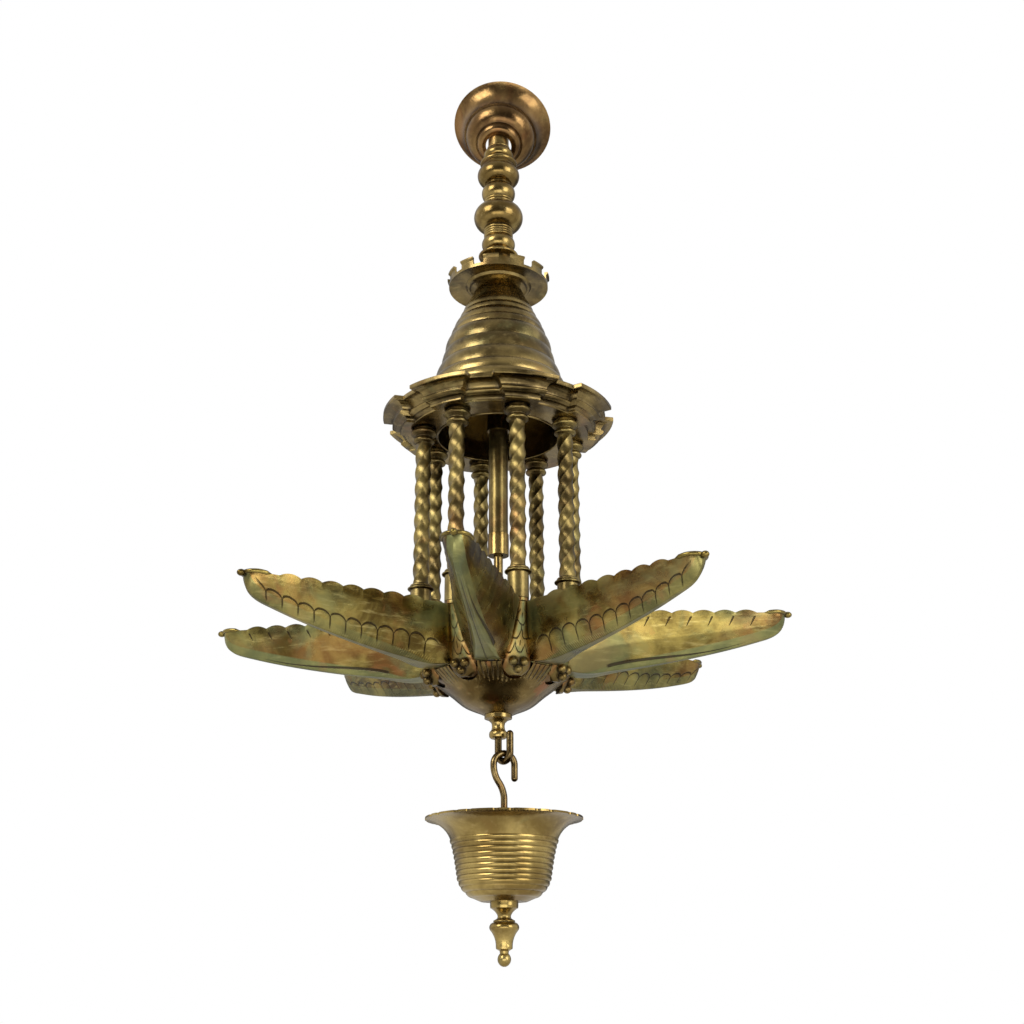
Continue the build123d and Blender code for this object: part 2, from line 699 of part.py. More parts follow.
def calyx():
    """The lobed bowl under the star, a lobe below each spout and a dip below each corner."""
    outer = bowl_points(0) + [(calyx_rim_radius, calyx_rim_z)]
    body = smooth_shell(outer, calyx_wall, calyx_rim_z, rod_radius + bore_clearance)
    for index in range(spout_count):
        dip = Rot(90, 0, 0) * Cylinder(calyx_dip_radius, calyx_rim_radius)
        cutter = Pos(0, -calyx_rim_radius, calyx_dip_z) * dip
        body = body - Rot(0, 0, sector * (index + 0.5)) * cutter
    return body


def reservoir():
    """The plain bowl that closes the oil pan, inside the calyx."""
    inset = calyx_wall + join_gap
    rim = reservoir_radius - free_gap
    outer = bowl_points(inset) + [(rim, calyx_rim_z + calyx_wall)]
    return smooth_shell(outer, reservoir_wall, calyx_rim_z + calyx_wall, rod_radius + bore_clearance)


def socket():
    """The turned socket: the rod screws in above, the pan hook's head turns in its foot."""
    body = turned(socket_radius, socket_height, 0, socket_shares, socket_z)
    body = body - rod(rod_radius + thread_clearance, socket_z + socket_floor, calyx_floor_z + cut_overrun)
    return body - rod(hook_journal_radius + running_clearance, socket_z - cut_overrun,
                      socket_z + 2 * socket_floor)


def bent_wire(wire, points):
    """A round wire along straight runs and arcs in one plane: rows of (kind, end, middle)."""
    edges = []
    here = points[0][1]
    for kind, end, middle in points[1:]:
        if kind == "line":
            edges.append(Line((here[0], 0, here[1]), (end[0], 0, end[1])))
        else:
            edges.append(ThreePointArc((here[0], 0, here[1]), (middle[0], 0, middle[1]), (end[0], 0, end[1])))
        here = end
    path = Wire(edges)
    start = Plane(origin=path @ 0, z_dir=path % 0)
    return sweep(start * Circle(wire), path=path)


def pan_hook():
    """The J hook under the socket, its head captured in the socket."""
    half = math.sqrt(0.5) * pan_hook_bend
    tip_z = bend_z + pan_hook_tip
    wire_top = socket_z - free_gap
    route = [("start", (0, wire_top), None), ("line", (0, bend_z), None),
             ("arc", (2 * pan_hook_bend, bend_z), (pan_hook_bend, bend_z - pan_hook_bend)),
             ("line", (2 * pan_hook_bend, tip_z), None)]
    body = bent_wire(pan_hook_wire, route)
    body = body + Pos(2 * pan_hook_bend, 0, tip_z) * Sphere(pan_hook_wire)
    head_z = socket_z + socket_floor + free_gap
    body = body + rod(hook_journal_radius, wire_top - pan_hook_wire, head_z + hook_head_height / 2)
    body = body + rod(hook_head_radius, head_z, head_z + hook_head_height)
    return Rot(0, 0, pan_hook_azimuth - 90) * body


def hook_frame(shape):
    """Place a shape that is made round the drip bowl's own axis."""
    spot = math.radians(pan_hook_azimuth)
    place = Pos(pan_hook_bend * math.sin(spot), -pan_hook_bend * math.cos(spot), 0)
    return place * Rot(0, 0, bowl_hook_azimuth) * shape


def bowl_hook():
    """The crook over the pan hook and the straight rod down through the drip bowl."""
    bend = bowl_hook_bend
    sway = math.radians(bowl_hook_sway)
    low_z = arch_z - bowl_hook_straight
    inner_x = -bend + sway_radius * (1 - math.cos(sway))
    inner_z = low_z - sway_radius * math.sin(sway)
    quarter = sway / 2
    first_middle = (-bend + sway_radius * (1 - math.cos(quarter)), low_z - sway_radius * math.sin(quarter))
    second_middle = (-sway_radius * (1 - math.cos(quarter)), low_z - sway_drop + sway_radius * math.sin(quarter))
    route = [("start", (bend, arch_z - bowl_hook_tip), None), ("line", (bend, arch_z), None),
             ("arc", (-bend, arch_z), (0, arch_z + bend)), ("line", (-bend, low_z), None),
             ("arc", (inner_x, inner_z), first_middle), ("arc", (0, low_z - sway_drop), second_middle),
             ("line", (0, drip_floor_z - finial_thread_depth), None)]
    body = bent_wire(bowl_hook_wire, route)
    body = body + Pos(bend, 0, arch_z - bowl_hook_tip) * Sphere(bowl_hook_wire)
    return hook_frame(body)


# Drip bowl

def drip_outline():
    """Points of the ringed outside of the drip bowl, from the floor up to the rim."""
    points = [(drip_floor_radius, 0)]
    for radius_share, height_share in drip_shares:
        points.append((drip_throat_radius * radius_share, drip_height * height_share))
    return points


def radius_at(points, height):
    """Radius of an outline at a height, between its points."""
    for (low_radius, low), (high_radius, high) in zip(points, points[1:]):
        if low <= height <= high:
            return low_radius + (high_radius - low_radius) * (height - low) / (high - low)
    return points[-1][0]


def drip_bowl():
    """The drip bowl: raised rings round its body and a wide rim with a nicked edge."""
    points = drip_outline()
    start = drip_height * drip_ring_start_share
    end = drip_height * drip_ring_end_share
    step = (end - start) / drip_ring_count
    rows = [(0, 0, None), (drip_floor_radius, 0, None), (radius_at(points, start), start, None)]
    for index in range(drip_ring_count):
        low = start + step * index
        middle = radius_at(points, low + step / 2) + drip_ring_rise
        rows.append((radius_at(points, low + step), low + step, middle))
    throat = radius_at(points, end)
    lip = drip_height - drip_wall
    rows.append((drip_rim_radius, lip, throat + 3 * drip_wall))
    rows.append((drip_rim_radius, drip_height, None))
    rows.append((drip_rim_radius - drip_wall, drip_height, None))
    rows.append((throat - drip_wall, end, throat + 2 * drip_wall))
    edges = outline_edges([(radius, drip_floor_z + height, bulge if bulge is None else bulge)
                           for radius, height, bulge in rows])
    inner = [(throat - drip_wall, drip_floor_z + end)]
    for radius, height in reversed(points[1:]):
        if height < end - step:
            inner.append((radius - drip_wall - drip_ring_rise / 2, drip_floor_z + height + drip_wall / 2))
    inner.append((drip_floor_radius / 2, drip_floor_z + drip_wall))
    edges.append(Spline([(radius, 0, height) for radius, height in inner]))
    edges.append(Line((inner[-1][0], 0, inner[-1][1]), (0, 0, drip_floor_z + drip_wall)))
    edges.append(Line((0, 0, drip_floor_z + drip_wall), (0, 0, drip_floor_z)))
    body = revolve(make_face(edges), Axis.Z)
    body = body - rod(bowl_hook_wire + thread_clearance, drip_floor_z - cut_overrun, drip_floor_z + cut_overrun)
    pitch = 360 / drip_lobe_count
    nick = Cylinder(drip_nick_radius, 3 * drip_wall)
    nick = Pos(0, -drip_rim_radius - drip_nick_radius / 2, drip_rim_z) * nick
    for index in range(drip_lobe_count):
        first = drip_first_nick - bowl_hook_azimuth + pitch * index
        body = body - at_azimuth(nick, first) - at_azimuth(nick, first + drip_wide_lobe)
    return hook_frame(body)


def drip_finial():
    """The turned finial screwed on the rod's end under the drip bowl."""
    body = turned(finial_radius, finial_height, 0, finial_shares, finial_z)
    body = body - rod(bowl_hook_wire + thread_clearance, drip_floor_z - finial_thread_depth - join_gap,
                      drip_floor_z + cut_overrun)
    return hook_frame(body)


def hook_nut():
    """The nut on the rod inside the drip bowl."""
    return hook_frame(nut(hook_nut_radius, hook_nut_height, bowl_hook_wire + thread_clearance,
                          drip_floor_z + drip_wall))


def write_node(name, shape):
    """Lower a finished piece so that the eye's centre is the origin, and write it."""
    solids = shape if isinstance(shape, list) else [shape]
    placed = []
    for solid in solids:
        placed.append(Pos(0, 0, -eye_z) * solid)
    whole = placed[0] if len(placed) == 1 else Compound(children=placed)
    export_step(whole, "parts/" + name + ".step")


def write_all():
    """Write every piece of the lamp."""
    write_node("hanging_eye", hanging_eye())
    write_node("tie_rod", tie_rod())
    write_node("rod_nuts", rod_nuts())
    write_node("ceiling_rose", ceiling_rose())
    bore = rod_radius + bore_clearance
    write_node("stem_foot", turned(stem_foot_radius, stem_foot_height, bore, stem_foot_shares, foot_z))
    write_node("stem_lower_knop", turned(lower_knop_radius, lower_knop_height, bore,
                                          lower_knop_shares, lower_knop_z))
    write_node("stem_large_knop", turned(large_knop_radius, large_knop_height, bore,
                                          large_knop_shares, large_knop_z))
    write_node("stem_middle_knop",
               turned(middle_knop_radius, middle_knop_height, bore, middle_knop_shares, middle_knop_z))
    write_node("stem_upper_knop", turned(upper_knop_radius, upper_knop_height, bore,
                                          upper_knop_shares, upper_knop_z))
    write_node("stem_neck", turned(neck_radius, neck_height, bore, neck_shares, neck_z))
    write_node("gallery_cup", gallery_cup())
    write_node("dome_base", dome_base())
    write_node("dome", dome())
    write_node("moulded_ring", moulded_ring())
    write_node("column_nuts", column_nuts())
    write_node("centre_tube", centre_tube())
    write_node("tube_collar", tube_collar())
    write_node("tube_ferrule", tube_ferrule())
    write_node("reservoir", reservoir())
    write_node("calyx", calyx())
    write_node("socket", socket())
    write_node("pan_hook", pan_hook())
    write_node("bowl_hook", bowl_hook())
    write_node("drip_bowl", drip_bowl())
    write_node("drip_finial", drip_finial())
    write_node("hook_nut", hook_nut())
    one_column = column()
    one_pedestal = pedestal()
    one_spout = leaf_spout()
    one_corner = corner_leaf()
    for index in range(spout_count):
        number = str(index + 1)
        write_node("column_" + number, at_column(one_column, index))
        write_node("pedestal_" + number, at_column(one_pedestal, index))
        write_node("leaf_spout_" + number, at_azimuth(one_spout, sector * index))
        write_node("corner_leaf_" + number, at_azimuth(one_corner, sector * (index + 0.5)))


write_all()
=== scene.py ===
import bpy
import json
import math
import numpy as np
from mathutils import Matrix, Vector


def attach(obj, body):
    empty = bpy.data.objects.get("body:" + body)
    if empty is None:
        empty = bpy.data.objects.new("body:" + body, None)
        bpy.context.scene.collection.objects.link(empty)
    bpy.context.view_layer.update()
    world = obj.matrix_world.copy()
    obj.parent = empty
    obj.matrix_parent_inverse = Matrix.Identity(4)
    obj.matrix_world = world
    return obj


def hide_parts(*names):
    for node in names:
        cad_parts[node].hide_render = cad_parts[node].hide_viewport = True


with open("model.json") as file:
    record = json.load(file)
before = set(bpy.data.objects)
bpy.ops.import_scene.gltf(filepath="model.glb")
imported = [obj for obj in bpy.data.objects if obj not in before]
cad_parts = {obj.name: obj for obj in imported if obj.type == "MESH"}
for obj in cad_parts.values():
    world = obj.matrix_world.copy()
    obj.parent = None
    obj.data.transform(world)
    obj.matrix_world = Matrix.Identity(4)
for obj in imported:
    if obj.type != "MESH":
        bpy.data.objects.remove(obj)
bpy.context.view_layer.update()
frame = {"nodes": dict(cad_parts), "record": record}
mm = 0.001
starZ = -552.0      # the spout tips under the hanging eye, in mm
sectorAngle = 45.0
sectorCount = 8
mapUnit = 100.0     # mm per unit of the map coordinates
plainMap = 10.0     # map value that marks faces without engraving
print("frame loaded", len(frame["nodes"]))


class Field:
    # One socket of a shader tree. Arithmetic on it adds math nodes.
    def __init__(self, tree, socket):
        self.tree = tree
        self.socket = socket

    def plug(self, target, value):
        if isinstance(value, Field):
            self.tree.links.new(value.socket, target)
        else:
            target.default_value = value

    def make(self, kind, inputs, output=0, **settings):
        node = self.tree.nodes.new(kind)
        for name, value in settings.items():
            setattr(node, name, value)
        for name, value in inputs.items():
            self.plug(node.inputs[name], value)
        return Field(self.tree, node.outputs[output])

    def math(self, operation, *values):
        return self.make("ShaderNodeMath", dict(enumerate(values)), operation=operation)

    def __add__(self, other):
        return self.math("ADD", self, other)

    def __radd__(self, other):
        return self.math("ADD", other, self)

    def __sub__(self, other):
        return self.math("SUBTRACT", self, other)

    def __rsub__(self, other):
        return self.math("SUBTRACT", other, self)

    def __mul__(self, other):
        return self.math("MULTIPLY", self, other)

    def __rmul__(self, other):
        return self.math("MULTIPLY", other, self)

    def __truediv__(self, other):
        return self.math("DIVIDE", self, other)

    def __pow__(self, other):
        return self.math("POWER", self, other)

    def __neg__(self):
        return self.math("MULTIPLY", self, -1)

    def __abs__(self):
        return self.math("ABSOLUTE", self)

    def __mod__(self, other):
        return self.math("FLOORED_MODULO", self, other)

    def sine(self):
        return self.math("SINE", self)

    def least(self, other):
        return self.math("MINIMUM", self, other)

    def most(self, other):
        return self.math("MAXIMUM", self, other)

    def step(self, low, high, back=False):
        # 0 below low and 1 above high with a smooth rise, or the reverse
        ends = {"Value": self, "From Min": low, "From Max": high,
                "To Min": 1.0 if back else 0.0, "To Max": 0.0 if back else 1.0}
        return self.make("ShaderNodeMapRange", ends, interpolation_type="SMOOTHSTEP")

    def noise(self, scale, detail=4.0, rough=0.55, warp=0.0):
        return self.make("ShaderNodeTexNoise", {"Vector": self, "Scale": scale, "Detail": detail,
                                                "Roughness": rough, "Distortion": warp})

    def stretched(self, size):
        return self.make("ShaderNodeVectorMath", {0: self, 1: size}, operation="MULTIPLY")


def mixColours(factor, low, high):
    node = factor.tree.nodes.new("ShaderNodeMix")
    node.data_type = "RGBA"
    factor.plug(node.inputs["Factor"], factor)
    factor.plug(node.inputs["A"], low)
    factor.plug(node.inputs["B"], high)
    return Field(factor.tree, node.outputs["Result"])


def colour(hexed):
    # sRGB hex to linear
    parts = [int(hexed[i:i + 2], 16) / 255 for i in (0, 2, 4)]
    return tuple(p / 12.92 if p <= 0.04045 else ((p + 0.055) / 1.055) ** 2.4 for p in parts) + (1.0,)


def separated(field, index):
    return field.make("ShaderNodeSeparateXYZ", {0: field}, output=index)


def brassMaterial(name, look, pattern=None):
    # Cast or turned brass: painted highlights along streaks, brown tarnish in patches, painted shade in
    # hollows, green and copper stains, fine scratches and small dents. pattern returns (engraved depth 0..1,
    # green share, copper share)
    material = bpy.data.materials.new(name)
    material.use_nodes = True
    tree = material.node_tree
    tree.nodes.clear()
    output = tree.nodes.new("ShaderNodeOutputMaterial")
    coords = tree.nodes.new("ShaderNodeTexCoord")
    place = Field(tree, coords.outputs["Object"])

    cloud = place.noise(*look["cloudNoise"])
    patches = place.noise(*look["patchNoise"])
    grain = place.noise(*look["grainNoise"])
    streaks = place.stretched(look["streakShape"]).noise(*look["streakNoise"])

    base = mixColours(cloud.step(*look["cloudEnds"]), colour(look["deep"]), colour(look["body"]))
    # painted highlight: the paler shine colour laid along the streaks
    base = mixColours(streaks.step(*look["streakEnds"]) * look["shineAmount"], base, colour(look["shine"]))
    red = patches.step(*look["copperEnds"]) * look["copperAmount"]
    green = place.noise(*look["greenNoise"]).step(*look["greenEnds"]) * look["greenAmount"]
    # painted shade: hollows found by ambient occlusion get the dark colour, more roughness and less metal
    hollow = place.make("ShaderNodeAmbientOcclusion", {"Distance": look["hollowReach"]}, output=1,
                        samples=look["hollowSamples"], only_local=True)
    dirt = hollow.step(*look["hollowShadeEnds"], back=True) * look["dirtAmount"]
    engraved = None
    if pattern:
        engraved, greenShare, redShare = pattern(tree)
        if greenShare is not None:
            green = green.most(greenShare)
        red = red.most(redShare)
    base = mixColours(red.least(1.0), base, colour(look["copper"]))
    base = mixColours(green.least(1.0), base, colour(look["green"]))
    # painted shade in the hollows
    base = mixColours(dirt.least(1.0), base, colour(look["dirt"]))
    if engraved is not None:
        base = mixColours(engraved.least(1.0) * look["engravedDark"], base, colour(look["dirt"]))
    speck = grain.step(*look["speckEnds"]) * look["speckAmount"]
    base = mixColours(speck, base, colour(look["dirt"]))

    rough = look["rough"] + (cloud - 0.5) * look["roughSpread"]
    rough = rough + dirt * look["hollowShadeRough"] + green * look["greenRough"]
    height = (grain - 0.5) * look["grainDepth"] + (cloud - 0.5) * look["dentDepth"]
    height = height + (streaks - 0.5) * look["streakDepth"]
    if engraved is not None:
        height = height - engraved * look["engravedDepth"]
    bump = place.make("ShaderNodeBump", {"Height": height, "Distance": 1.0, "Strength": look["bumpStrength"]})
    metal = 1.0 - (green * look["greenMetal"]).most(dirt * look["hollowShadeMetal"])

    shader = tree.nodes.new("ShaderNodeBsdfPrincipled")
    place.plug(shader.inputs["Base Color"], base)
    place.plug(shader.inputs["Metallic"], metal.most(look["metalLeast"]))
    place.plug(shader.inputs["Roughness"], rough.most(look["roughLeast"]).least(look["roughMost"]))
    place.plug(shader.inputs["Normal"], bump)
    tree.links.new(shader.outputs[0], output.inputs["Surface"])
    return material


# noises are scale, detail, roughness and distortion; ends are where a smooth step starts and stops
baseLook = {
    # shine on the next line is the colour of the painted highlights
    "deep": "6b5730", "body": "9c8450", "shine": "c9b27a", "copper": "8f5c38", "green": "66744a",
    # the dark colour on the next line serves painted shade in hollows, engraved lines and specks
    "dirt": "2c2316",
    "cloudNoise": (26.0, 5.0, 0.62, 0.4), "patchNoise": (18.0, 4.0, 0.6, 0.8),
    "grainNoise": (1500.0, 3.0, 0.7), "streakNoise": (150.0, 3.0, 0.65), "streakShape": (1.0, 1.0, 1.0),
    "greenNoise": (30.0, 5.0, 0.65, 0.6),
    "cloudEnds": (0.36, 0.66), "streakEnds": (0.52, 0.74), "copperEnds": (0.55, 0.70),
    "greenEnds": (0.56, 0.72), "hollowShadeEnds": (0.35, 0.86), "speckEnds": (0.60, 0.78),
    # on the next line the fourth amount is the strength of the painted shade in hollows
    "shineAmount": 0.2, "copperAmount": 0.25, "greenAmount": 0.2, "dirtAmount": 0.8, "speckAmount": 0.18,
    "hollowReach": 0.006, "hollowSamples": 6, "engravedDark": 0.9, "engravedDepth": 0.0006,
    "rough": 0.24, "roughSpread": 0.22, "hollowShadeRough": 0.25, "greenRough": 0.2, "roughLeast": 0.12,
    "roughMost": 0.9, "greenMetal": 0.6, "hollowShadeMetal": 0.55, "metalLeast": 0.2,
    "grainDepth": 0.000025, "dentDepth": 0.0004, "streakDepth": 0.00005, "bumpStrength": 1.0,
}


def look(**changes):
    values = dict(baseLook)
    values.update(changes)
    return values


materials = {
    "aged_brass": brassMaterial("stemBrass", look(body="9a8450", deep="68552f")),
    "canopy_brass": brassMaterial("canopyBrass", look(body="948050", deep="57492c", copperAmount=0.25)),
    # columns: weaker painted shade in their hollows
    "column_brass": brassMaterial("columnBrass", look(body="897949", deep="54462a", hollowReach=0.004,
                                                      dirtAmount=0.7, rough=0.34)),
    "bright_brass": brassMaterial("brightBrass", look(body="a38e56", deep="766236", copperAmount=0.1)),
    "rose_brass": brassMaterial("roseBrass", look(body="856a42", deep="523c25", shine="b0905f",
                                                  copperAmount=0.35, greenAmount=0.1, dentDepth=0.0009)),
    "hook_brass": brassMaterial("hookBrass", look(body="665535", deep="3a2e1c")),
    "rod_brass": brassMaterial("rodBrass", look(body="8f7a4a", deep="5a4828")),
    "nut_brass": brassMaterial("nutBrass", look()),
    # pan: darker tarnish and stronger painted shade in its hollows
    "pan_brass": brassMaterial("panBrass", look(deep="3e2c18", body="76592f", dirtAmount=0.95)),
    "star_brass": brassMaterial("starBrass", look(body="968a50", deep="5f5428")),
}
slots = {part["node"]: part["material_slot"] for part in frame["record"]["subparts"]}
for name, node in frame["nodes"].items():
    node.data.materials.clear()
    node.data.materials.append(materials[slots[name]])
print("materials made")


def smoothTable(stations, values, x):
    # cubic through a table, with slopes from the neighbouring rows
    xs = np.asarray(stations, float)
    ys = np.asarray(values, float)
    slopes = np.gradient(ys, xs)
    low = np.clip(np.searchsorted(xs, x) - 1, 0, len(xs) - 2)
    width = xs[low + 1] - xs[low]
    t = np.clip((x - xs[low]) / width, 0.0, 1.0)
    keep = 2 * t**3 - 3 * t**2 + 1
    return (keep * ys[low] + (t**3 - 2 * t**2 + t) * width * slopes[low]
            + (1 - keep) * ys[low + 1] + (t**3 - t**2) * width * slopes[low + 1])


class Patch:
    # Grids of points joined into one mesh, each with its own map coordinates.
    def __init__(self):
        self.points = []
        self.maps = []
        self.faces = []
        self.count = 0

    def grid(self, x, y, z, u, v, closed=False, flip=False):
        rows, columns = x.shape
        index = np.arange(rows * columns).reshape(rows, columns) + self.count
        nextColumn = np.roll(index, -1, axis=1)
        if not closed:
            index, nextColumn = index[:, :-1], nextColumn[:, :-1]
        quads = np.stack([index[:-1], nextColumn[:-1], nextColumn[1:], index[1:]], axis=-1).reshape(-1, 4)
        self.faces.append(quads[:, ::-1] if flip else quads)
        self.points.append(np.stack([x, y, z], axis=-1).reshape(-1, 3))
        self.maps.append(np.stack([u, v], axis=-1).reshape(-1, 2))
        self.count += rows * columns

    def build(self, name, body, material, replaced, turn=0.0, shift=(0.0, 0.0, 0.0)):
        points = np.concatenate(self.points)
        cosine, sine = math.cos(turn), math.sin(turn)
        # local +X goes to the azimuth, counted from -Y towards +X
        placed = np.stack([points[:, 0] * sine + points[:, 1] * cosine,
                           -points[:, 0] * cosine + points[:, 1] * sine, points[:, 2]], axis=-1)
        placed = (placed + np.asarray(shift)) * mm
        faces = np.concatenate(self.faces)
        mesh = bpy.data.meshes.new(name)
        mesh.vertices.add(len(placed))
        mesh.vertices.foreach_set("co", placed.astype(np.float32).ravel())
        mesh.loops.add(faces.size)
        mesh.loops.foreach_set("vertex_index", faces.astype(np.int32).ravel())
        mesh.polygons.add(len(faces))
        mesh.polygons.foreach_set("loop_start", np.arange(0, faces.size, 4, dtype=np.int32))
        mesh.update(calc_edges=True)
        layer = mesh.uv_layers.new(name="place")
        layer.data.foreach_set("uv", np.concatenate(self.maps)[faces.ravel()].astype(np.float32).ravel())
        mesh.polygons.foreach_set("use_smooth", np.ones(len(faces), bool))
        mesh.materials.append(material)
        mesh.validate()
        piece = bpy.data.objects.new(name, mesh)
        bpy.context.scene.collection.objects.link(piece)
        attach(piece, body)
        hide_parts(*replaced)


# Leaf spouts
spoutLook = {
    "reach": 250.0, "edgeZ": 5.2, "wall": 1.8, "rootRadius": 58.25, "noseStart": 222.0, "noseEnd": 244.0,
    "halfWidth": 27.0, "depth": 42.0, "scallopStart": 96.0, "scallopEnd": 220.0, "scallopCount": 7,
    "scallopRise": 2.6, "lipRadius": 1.65, "lipRise": 1.0, "lipStart": 226.0, "lipRun": 12.0,
    "rimShare": 0.86, "flatShare": 0.12, "straightShare": 0.86, "straightPart": 0.9,
    "nib": (246.4, 0.2), "nibSize": (3.5, 2.9, 2.7), "lipSpread": 0.2, "lipTaper": 14, "lipLeast": 0.05,
    "stations": (0.180, 0.232, 0.300, 0.400, 0.520, 0.660, 0.800, 0.900, 0.950, 0.980),
    "edge": (0.640, 0.800, 1.000, 0.915, 0.790, 0.645, 0.515, 0.425, 0.395, 0.385),
    "middle": (0.560, 0.660, 0.720, 0.610, 0.510, 0.415, 0.340, 0.290, 0.260, 0.250),
    "middleDrop": (0.640, 0.640, 0.600, 0.500, 0.395, 0.300, 0.210, 0.140, 0.110, 0.095),
    "keel": (0.500, 0.500, 0.350, 0.185, 0.110, 0.085, 0.075, 0.068, 0.060, 0.052),
    "keelDrop": (0.880, 0.945, 1.000, 0.930, 0.835, 0.700, 0.530, 0.380, 0.300, 0.275),
    "alongRows": 420, "acrossRows": 97, "innerAlong": 160, "innerAcross": 41, "creases": (0.6, 0.35),
    "lipRows": 81, "lipSides": 17, "nibRows": 22,
}


def spoutSection(x, across, grow, crease):
    # across runs from -1 at the left edge through 0 at the keel to 1 at the right edge
    s = spoutLook
    share = x / s["reach"]
    edge = smoothTable(s["stations"], s["edge"], share) * s["halfWidth"] + grow
    middle = smoothTable(s["stations"], s["middle"], share) * s["halfWidth"] + grow
    middleZ = -smoothTable(s["stations"], s["middleDrop"], share) * s["depth"]
    keel = smoothTable(s["stations"], s["keel"], share) * s["halfWidth"] + 0.5 * grow
    keelZ = -smoothTable(s["stations"], s["keelDrop"], share) * s["depth"] - grow
    flatShare = s["flatShare"]
    lift = np.clip((np.abs(across) - flatShare) / (1 - flatShare), 0, 1)
    # a parabola through keel, middle and edge, pulled towards two straight flanks that meet at the middle
    curve = (1 - lift) * (1 - 2 * lift), 4 * lift * (1 - lift), lift * (2 * lift - 1)
    flanks = np.maximum(1 - 2 * lift, 0), 1 - np.abs(2 * lift - 1), np.maximum(2 * lift - 1, 0)
    weights = [(1 - crease) * a + crease * b for a, b in zip(curve, flanks)]
    y = keel * weights[0] + middle * weights[1] + edge * weights[2]
    z = keelZ * weights[0] + middleZ * weights[1] + s["edgeZ"] * weights[2]
    y = np.where(np.abs(across) < flatShare, keel * np.abs(across) / flatShare, y)
    nose = noseShare(x, grow)
    return y * np.sign(across) * nose, s["edgeZ"] + (z - s["edgeZ"]) * nose


def noseShare(x, grow):
    # a blunt end: the fourth root curve of an ellipse
    s = spoutLook
    run = np.clip((x - s["noseStart"]) / (s["noseEnd"] + grow - s["noseStart"]), 0, 1)
    return np.sqrt(1 - run**4)


def lipRise(x):
    s = spoutLook
    run = np.clip((x - s["lipStart"]) / s["lipRun"], 0, 1)
    return s["lipRise"] * run * run * (3 - 2 * run)


def scallopedRise(x):
    s = spoutLook
    pitch = (s["scallopEnd"] - s["scallopStart"]) / s["scallopCount"]
    cell = np.clip((x - s["scallopStart"]) / pitch, 0, s["scallopCount"])
    inside = (x > s["scallopStart"]) & (x < s["scallopEnd"])
    return np.where(inside, s["scallopRise"] * (1 - (2 * (cell - np.floor(cell)) - 1) ** 2), 0.0)


def spoutSurface(rows, columns, grow, crease):
    s = spoutLook
    straightShare, straightPart = s["straightShare"], s["straightPart"]
    along = np.linspace(0, 1, rows)[:, None]
    bent = np.sin(np.clip((along - straightShare) / (1 - straightShare), 0, 1) * math.pi / 2)
    along = np.minimum(along / straightShare, 1) * straightPart + bent * (1 - straightPart)
    across = np.linspace(-1, 1, columns)[None, :] + 0 * along
    noseX = s["noseEnd"] + grow
    x = s["rootRadius"] + (noseX - s["rootRadius"]) * along + 0 * across
    for _ in range(3):
        y, z = spoutSection(x, across, grow, crease)
        root = np.sqrt(np.maximum(s["rootRadius"] ** 2 - y**2, 0.0))
        x = root + (noseX - root) * along
    y, z = spoutSection(x, across, grow, crease)
    rim = np.clip((np.abs(across) - s["rimShare"]) / (1 - s["rimShare"]), 0, 1)
    z = z + (scallopedRise(x) + lipRise(x)) * rim
    return x, y, z, across


def leafSpout(index):
    s = spoutLook
    patch = Patch()
    crease = s["creases"][index % 2]
    x, y, z, across = spoutSurface(s["alongRows"], s["acrossRows"], 0.0, crease)
    step = np.sqrt(np.diff(y, axis=1) ** 2 + np.diff(z, axis=1) ** 2)
    arc = np.concatenate([np.zeros((x.shape[0], 1)), np.cumsum(step, axis=1)], axis=1)
    middle = s["acrossRows"] // 2
    arc = arc - arc[:, middle:middle + 1]
    patch.grid(x, y, z, x / mapUnit, arc / mapUnit)
    xi, yi, zi, acrossI = spoutSurface(s["innerAlong"], s["innerAcross"], -s["wall"], crease)
    patch.grid(xi, yi, zi, xi / mapUnit, acrossI + plainMap, flip=True)
    # rim between the outer and inner walls, the two long sides and the root
    for side, flip in ((0, True), (-1, False)):
        share = np.linspace(0, 1, s["innerAlong"])
        rows = np.linspace(0, 1, s["alongRows"])
        gx, gy, gz = [np.stack([outer[:, side], np.interp(rows, share, inner[:, side])], axis=1)
                      for outer, inner in ((x, xi), (y, yi), (z, zi))]
        patch.grid(gx, gy, gz, gx / mapUnit, gy * 0 + plainMap, flip=flip)
    for row, flip in ((0, True), (-1, False)):
        share = np.linspace(0, 1, s["acrossRows"])
        inner = np.linspace(0, 1, s["innerAcross"])
        gx, gy, gz = [np.stack([outer[row], np.interp(share, inner, wall[row])], axis=0)
                      for outer, wall in ((x, xi), (y, yi), (z, zi))]
        patch.grid(gx, gy, gz, gx / mapUnit, gy * 0 + plainMap, flip=flip)
    lipTube(patch)
    number = str(index + 1)
    kind = "plainSpout" if index % 2 == 0 else "archedSpout"
    patch.build("spout_" + number, "lamp", spoutMaterials[kind], ["leaf_spout_" + number],
                turn=math.radians(sectorAngle * index), shift=(0, 0, starZ))


